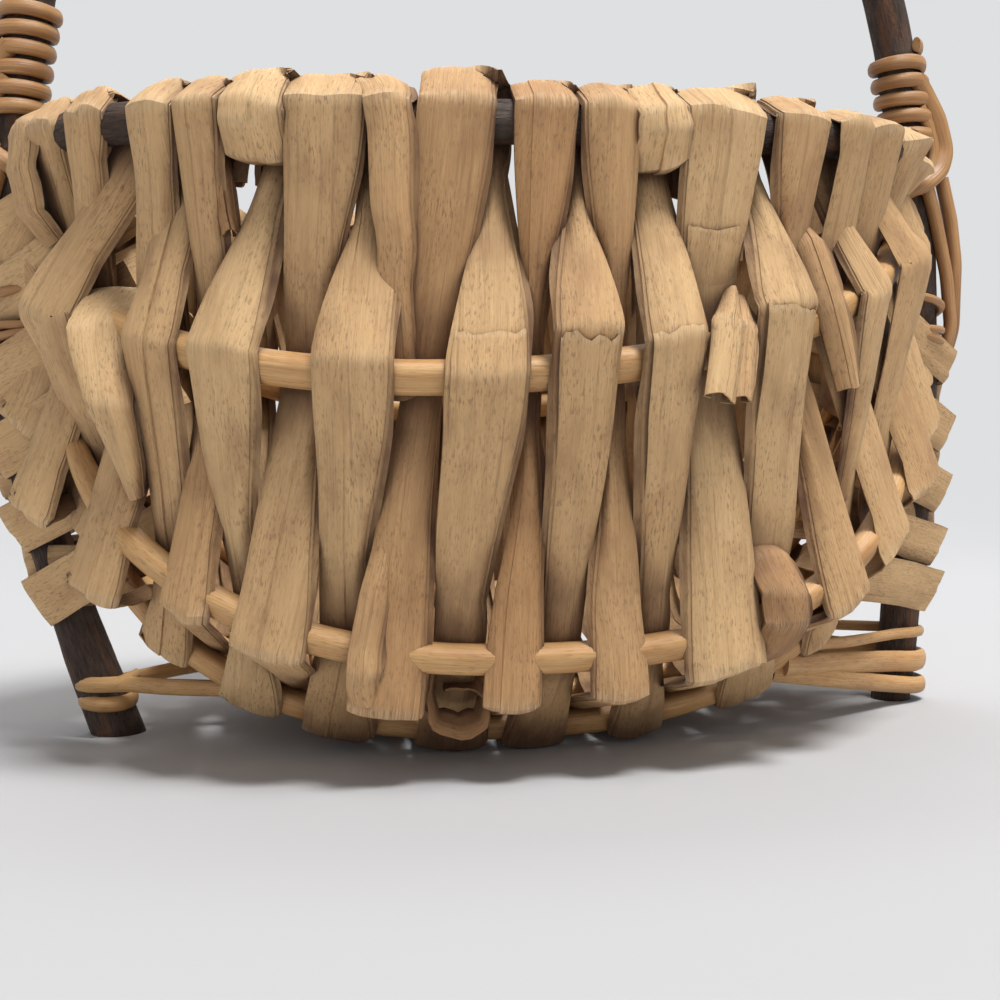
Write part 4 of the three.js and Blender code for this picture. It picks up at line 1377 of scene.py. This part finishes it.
# %% [markdown]
# ## Short leaves
# Some leaves don't run the whole way. Two short ones wrap the rim where a gap was left. Their corners
# are worked out from the rim, so that they lie close to it.

# %% Short wraps over the rim
Wrap = namedtuple("Wrap", "name row width loft skirt tone skew")
WRAPS = [
    Wrap("rim_wrap_left", -5.15, 14.5, 2.4, 5.0, 0.2, 0.8),
    Wrap("rim_wrap_right", 1.62, 13, 1.0, 6.0, 0.3, -2.5),
]
WRAP_SEED = 40
SKIRT_FOLDS = [(1.15, 0.0, 0.5), (0.6, 1.0, 0.5), (-0.5, 1.0, 0.35)]


def wrap_over_rim(row, loft, skirt):
    angle = row_angle(row)
    rod = RODS[0]
    point, tangent = point_on(rod, angle), tangent_on(rod, angle)
    down = np.array((0.0, 0.0, -1.0))
    outward = np.cross(down, tangent)
    outward = outward / np.linalg.norm(outward)
    reach = rod.diameter / 2 + OUTER_CLEARANCE
    crossing = Crossing(point, tangent, reach)
    folds = rim_folds(crossing, outward, down, loft, True)
    for outer, lower, share in SKIRT_FOLDS:
        folds.append(point + outward * reach * outer + down * (reach * lower + skirt * MM * share))
    return make_path(folds, [tangent] * len(folds), np.arange(len(folds)) * 1.0)


for wrap in WRAPS:
    path = wrap_over_rim(wrap.row, wrap.loft * MM, wrap.skirt)
    half = np.full(len(path.station), wrap.width * MM / 2)
    seed = wrap.row + WRAP_SEED
    layers = leaf_rings(path, (half, half), seed, skew=wrap.skew)
    leaf_piece(f"{wrap.name}_leaf", layers, seed, wrap.tone, [wrap.name])
print("rim wraps:", len(WRAPS))

# %% [markdown]
# ## Loose leaves
# One leaf begins at the upper rib with its end folded inwards, and a few torn, narrow or curled ends
# stand out of the weave. No rule gives their shape, so each one is a short list of corners in
# millimetres, with a width at each corner.

# %% Corners of the loose leaves
# The darkening field makes the whole leaf darker, on the same scale as the painted shade on tucked parts
# of the weave.
FreeLeaf = namedtuple("FreeLeaf", "name corners sideways widths tone soil layered", defaults=(True,))
ALONG = (1, 0, 0)
TILTED = (0, 0.85, 0.53)
END_WAY = (0.55, -0.83, 0)
CURL_CORNERS = [
    (-25, -70, 31), (-26.5, -70, 21.5), (-25, -70, 14.5), (-18.5, -70, 12), (-13.5, -70, 14.5),
    (-12.5, -70, 20), (-14.5, -70, 22.5), (-18.5, -70, 23), (-22.5, -70, 22.5),
]
FREE_LEAVES = [
    FreeLeaf(
        "leaf_narrow_at_rim",
        [
            (-38, -70, 150), (-38, -77, 162), (-37, -84, 167),
            (-36, -93, 160), (-34, -90, 128), (-32, -84, 92),
        ],
        ALONG, [8, 10, 11, 10.5, 8.5, 7], 0.6, 0,
    ),
    FreeLeaf(
        "leaf_rim_end",
        [
            (-112, -18, 150), (-114, -22, 166), (-121, -27, 173.5), (-129, -31, 168), (-129.5, -33, 156),
            (-128, -30, 145), (-122, -26, 137),
        ],
        END_WAY, [9, 12, 16, 17, 16, 13, 9], 0.5, 0.2,
    ),
    FreeLeaf(
        "leaf_lifted",
        [(-92, -30, 118), (-100, -45, 123), (-105, -58, 113), (-102, -66, 92), (-97, -61, 70)],
        ALONG, [15, 16, 16, 10, 3], 0.2, 0,
    ),
    FreeLeaf(
        "leaf_torn_stub", [(48, -84, 118), (44, -93, 110), (40, -98, 92)],
        ALONG, [4, 8, 7], 0.1, 0,
    ),
    FreeLeaf(
        "leaf_torn_back", [(50, -83, 117), (48, -91, 109), (45, -96, 91)],
        ALONG, [4, 7, 6], 0.5, 0,
    ),
    FreeLeaf(
        "leaf_hanging", [(67, -68, 142), (71, -77, 132), (75, -81, 115), (81, -78, 95)],
        ALONG, [6, 8, 8, 6], 0.8, 0.3,
    ),
    FreeLeaf(
        "leaf_tail", [(-75, -73, 152), (-74, -74, 146), (-72, -75, 132)],
        ALONG, [3, 4, 3.5], 1.0, 0.5,
    ),
    FreeLeaf(
        "leaf_curl",
        CURL_CORNERS, TILTED, [9, 9, 9, 9, 9, 9, 8, 7, 6], 1.0, 0.7, False,
    ),
    FreeLeaf(
        "leaf_ply_beside", [(-36, -80, 66), (-40, -84.5, 46), (-43, -86, 28), (-42, -82, 20)],
        ALONG, [4, 7, 8, 6], 0.6, 0.2,
    ),
    FreeLeaf(
        "leaf_brown_curl",
        [(57, -66, 60), (59, -77, 54), (61.5, -83, 45), (62, -83.5, 36), (60, -78, 29), (58, -68, 25)],
        ALONG, [9, 10, 11, 11, 10, 8], 1.0, 0.8,
    ),
]


print("corners of the loose leaves:", sum(len(leaf.corners) for leaf in FREE_LEAVES))

# %% Lay the loose leaves
FREE_SEED = 60.5


def free_path(leaf):
    corners = np.array(leaf.corners) * MM
    path = make_path(corners, [leaf.sideways] * len(corners), np.arange(len(corners)) * 1.0)
    half = np.interp(path.station, np.arange(len(corners)), leaf.widths) * MM / 2
    return path, (half, half)


for number, leaf in enumerate(FREE_LEAVES):
    path, halves = free_path(leaf)
    seed = FREE_SEED + number
    layers = leaf_rings(path, halves, seed, layered=leaf.layered, tucked=leaf.soil)
    leaf_piece(leaf.name, layers, seed, leaf.tone)
print("loose leaves:", len(FREE_LEAVES))

# %% [markdown]
# ## Bands round the posts
# Low on each post, flat leaves come out of the weave, go round the post and run back in. They repeat,
# so each band is given only its height, its rise towards the weave and its width.

# %% Flat bands round the posts
Band = namedtuple("Band", "height rise width")
BANDS = {
    -1: [
        Band(39, 22, 15), Band(60, 22, 15), Band(81, 24, 14),
        Band(100, 26, 14), Band(120, 26, 14), Band(140, 22, 13),
    ],
    1: [Band(35, 10, 14), Band(49, 16, 13), Band(66, 18, 14), Band(85, 20, 13), Band(106, 22, 12)],
}
BAND_REACH = 8.0
BAND_DEPTH = 6.5
BAND_END_DEPTH = 38
BAND_TONE = 0.35
BAND_SEED = 80.5
BAND_START = 92
BAND_STEP = 2
BAND_LEAN = 0.6
BAND_CROWN = 0.4 * MM
for side, bands in BANDS.items():
    for number, band in enumerate(bands):
        reach = side * (abs(post_point(side, band.height * MM)[0]) / MM + BAND_REACH)
        start = side * (BAND_START + BAND_STEP * number)
        corners = [
            (start, -BAND_END_DEPTH, band.height + band.rise), (reach, -BAND_DEPTH, band.height),
            (reach, BAND_DEPTH, band.height), (start, BAND_END_DEPTH, band.height + band.rise),
        ]
        corners = corners if side > 0 else corners[::-1]
        name = f"post_band_{row_name(side * (number + 1))}"
        widths = [band.width] * len(corners)
        strip = FreeLeaf(name, corners, (side * BAND_LEAN, 0, 1), widths, BAND_TONE, 0)
        path, halves = free_path(strip)
        seed = BAND_SEED + number * 3 + side
        layers = leaf_rings(path, halves, seed, layered=False, stray=0.0, crown=BAND_CROWN)
        leaf_piece(name, layers, seed, strip.tone)
print("bands:", sum(len(bands) for bands in BANDS.values()))

# %% [markdown]
# ## Rattan bindings
# Split rattan winds the posts above the rim, ties both feet to the bottom, and laces the tips of the
# ribs to the posts. Split rattan is flat, so each strand is a flattened tube that stays upright
# on the post. A coil's turns are worked out by a loop. Free stretches are listed points.

# %% Roll a strand
STRAND_STEP = 0.6 * MM
STRAND_ROUNDING = 3
STRAND_SIDES = 12
STRAND_UNEVENNESS = 0.06
STRAND_WAVES = 60


def strand(name, points, width, flatness, seed, *nodes, broad=NEAR_UPRIGHT, paint=rattan_paint):
    line = smooth(resample(np.array(points), STRAND_STEP), STRAND_ROUNDING)[::KEEP_EVERY]
    wide = np.tile(broad, (len(line), 1))

    def uneven(distance, turn):
        wave = noise.noise((distance * STRAND_WAVES, seed, math.sin(turn) * 0.6))
        return width / 2 * (1 + STRAND_UNEVENNESS * wave)

    piece = tube(name, line, uneven, STRAND_SIDES, seed=seed, wide=wide, flatness=flatness)
    return dress(piece, paint, "rattan_binding", *nodes)


# %% Turns round a post
BINDING_WIDTH = 4.6 * MM
BINDING_FLATNESS = 0.6
BINDING_GAP = 0.2 * MM
coil_radius = TWIG_DIAMETER / 2 + BINDING_WIDTH * BINDING_FLATNESS / 2 + BINDING_GAP


def post_frame(side, height):
    rise = post_point(side, height + MM / 2) - post_point(side, max(height - MM / 2, 0))
    rise = rise / np.linalg.norm(rise)
    front = np.array((0.0, -1.0, 0.0))
    outer = np.cross(front, rise)
    return front, outer * np.sign(outer[0] * side)


def around_post(side, height, turn):
    front, outer = post_frame(side, height)
    return post_point(side, height) + coil_radius * (math.cos(turn) * outer + math.sin(turn) * front)


print("coil radius in mm:", round(coil_radius / MM, 2))

# %% Wind the posts
BINDING_PITCH = 5.6 * MM
BINDING_WANDER = 0.5 * MM
WINDING_LOOPS = {-1: 6, 1: 5}
LOOP_STEPS = 48
WINDING_START = math.pi / 3
WINDING_SEED = 3.0


def coil(side, start, pitch, loops, first_turn):
    turns = np.linspace(first_turn, first_turn + loops * 2 * math.pi, int(loops * LOOP_STEPS))
    points = []
    for turn in turns:
        share = (turn - first_turn) / (2 * math.pi)
        wander = BINDING_WANDER * noise.noise((share * 2.0, side * 3.0, 0.4))
        points.append(around_post(side, start + pitch * share + wander, turn))
    return points


for side, loops in WINDING_LOOPS.items():
    word = SIDE_WORDS[side]
    lowest = RIM_ENDS + RODS[0].diameter / 2 + BINDING_WIDTH / 2 + BINDING_PITCH
    points = coil(side, lowest, BINDING_PITCH, loops, WINDING_START)
    node = f"handle_winding_{word}"
    strand(f"winding_{word}", points, BINDING_WIDTH, BINDING_FLATNESS, WINDING_SEED + side, node)
print("windings:", len(WINDING_LOOPS))

# %% [markdown]
# ## Loose strands beside the windings
# On the outside of each post, two strands leave the winding in a bow and two thin rods run down past
# the rim. They are drawn once, for the right post, and the left post gets them mirrored.

# %% Loose strands beside the windings
Strand = namedtuple("Strand", "name points width flatness")
WINDING_STRANDS = [
    Strand("outer_strand", [
        (136, -7, 197), (139, -6, 194), (144, -6, 185), (146.5, -6, 175),
        (143.5, -8, 168), (137, -10, 163), (130, -8, 160),
    ], 5.5, 0.5),
    Strand("inner_strand", [(137, -7, 188), (141, -6, 182), (143, -6, 174), (141, -7, 168)], 4.0, 0.6),
    Strand("front_rod", [
        (138, -8, 166), (142, -7, 154), (147, -5, 136), (149, -4, 119), (146, -3, 108),
    ], 4.2, 0.9),
    Strand("outer_rod", [
        (147, -2, 167), (150, -2, 154), (151.5, -2, 140), (150.5, -2, 119), (147, -1, 106),
    ], 4.6, 0.9),
]
LOOSE_SEED = 20.0
FACING_FRONT = (1.0, 0.0, 0.1)
for side, word in SIDE_WORDS.items():
    for number, loose in enumerate(WINDING_STRANDS):
        points = np.array(loose.points) * MM * (side, 1, 1)
        name = f"{loose.name}_{word}"
        seed = LOOSE_SEED + number * 3 + side
        strand(name, points, loose.width * MM, loose.flatness, seed, broad=FACING_FRONT)
print("loose strands:", len(SIDE_WORDS) * len(WINDING_STRANDS))

# %% [markdown]
# ## Foot bindings
# Each foot is tied to the woven bottom. The left tie goes round its foot twice and has a short end, and
# the right one has three strands of different thickness. The two differ, so both are listed point by
# point.

# %% Foot bindings
FOOT_STRANDS = {
    "left": [
        Strand("upper", [
            (-66, -36, 17), (-96, -19, 16), (-108, -9, 15.6), (-116, -8.4, 15.4),
            (-122, -4, 15.2), (-123, 3, 14.5), (-118, 8, 13), (-110, 7, 11),
            (-106.5, 0, 10), (-109, -7, 9.6), (-115, -8.4, 9.6), (-121, -4, 10),
            (-122, 3, 11), (-116, 8, 13), (-98, 18, 15), (-70, 34, 17),
        ], 4.6, 0.6),
        Strand("end", [(-111, -8.8, 15.5), (-106.5, -9.2, 17.2), (-103.5, -8.5, 18.6)], 3.8, 0.8),
    ],
    "right": [
        Strand("thin", [
            (80, -40, 24), (104, -27, 23), (126, -11, 22.4), (134, -8, 22.2), (139, -3, 22), (139, 3, 22),
            (134, 8, 22), (110, 22, 22), (82, 36, 23),
        ], 3.4, 0.8),
        Strand("thick", [
            (78, -40, 19), (104, -26, 16.5), (125, -12, 14), (134, -8.4, 13), (139.5, -3, 13),
            (139.5, 3, 13), (134, 8.4, 13.5), (108, 22, 16), (80, 36, 19),
        ], 6.6, 0.45),
        Strand("low", [
            (74, -40, 17), (100, -29, 12), (124, -13, 7), (134, -8.6, 5.4), (139, -4, 5), (139, 4, 5),
            (133, 8.6, 5.5), (106, 24, 10), (78, 38, 16),
        ], 5.4, 0.5),
    ],
}
FOOT_SEED = 40.0
for number, (word, strands) in enumerate(FOOT_STRANDS.items()):
    for step, tie in enumerate(strands):
        nodes = [f"foot_binding_{word}"] if step == 0 else []
        points = np.array(tie.points) * MM
        name = f"foot_{tie.name}_{word}"
        seed = FOOT_SEED + number * 5 + step
        strand(name, points, tie.width * MM, tie.flatness, seed, *nodes, paint=rod_paint)
print("foot strands:", sum(len(strands) for strands in FOOT_STRANDS.values()))

# %% [markdown]
# ## End lashings
# At each end a thin strand goes three times round the post and the tips of the ribs. It is an oval
# coil that climbs as it turns and sways a little, so a loop works out its points.

# %% End lashings round the post and the tips of the ribs
LASHING_TURNS = 3
LASHING_STEPS = 30
LASHING_START = 112
LASHING_PITCH = 6
LASHING_SWAY = 3
LASHING_MIDDLE = 131.5
LASHING_HALF_LENGTH = 14
LASHING_HALF_DEPTH = 16
LASHING_WIDTH = 2.6 * MM
LASHING_SEED = 60.0
for side, word in SIDE_WORDS.items():
    points = []
    for turn in np.linspace(0, LASHING_TURNS * 2 * math.pi, LASHING_TURNS * LASHING_STEPS):
        climb = LASHING_PITCH * turn / (2 * math.pi) + LASHING_SWAY * math.sin(turn * 0.5)
        reach = LASHING_MIDDLE + LASHING_HALF_LENGTH * math.cos(turn)
        points.append((side * reach, -LASHING_HALF_DEPTH * math.sin(turn), LASHING_START + climb))
    points = np.array(points) * MM
    strand(f"lashing_{word}", points, LASHING_WIDTH, 1.0, LASHING_SEED + side, f"end_lashing_{word}")
print("lashings:", len(SIDE_WORDS))
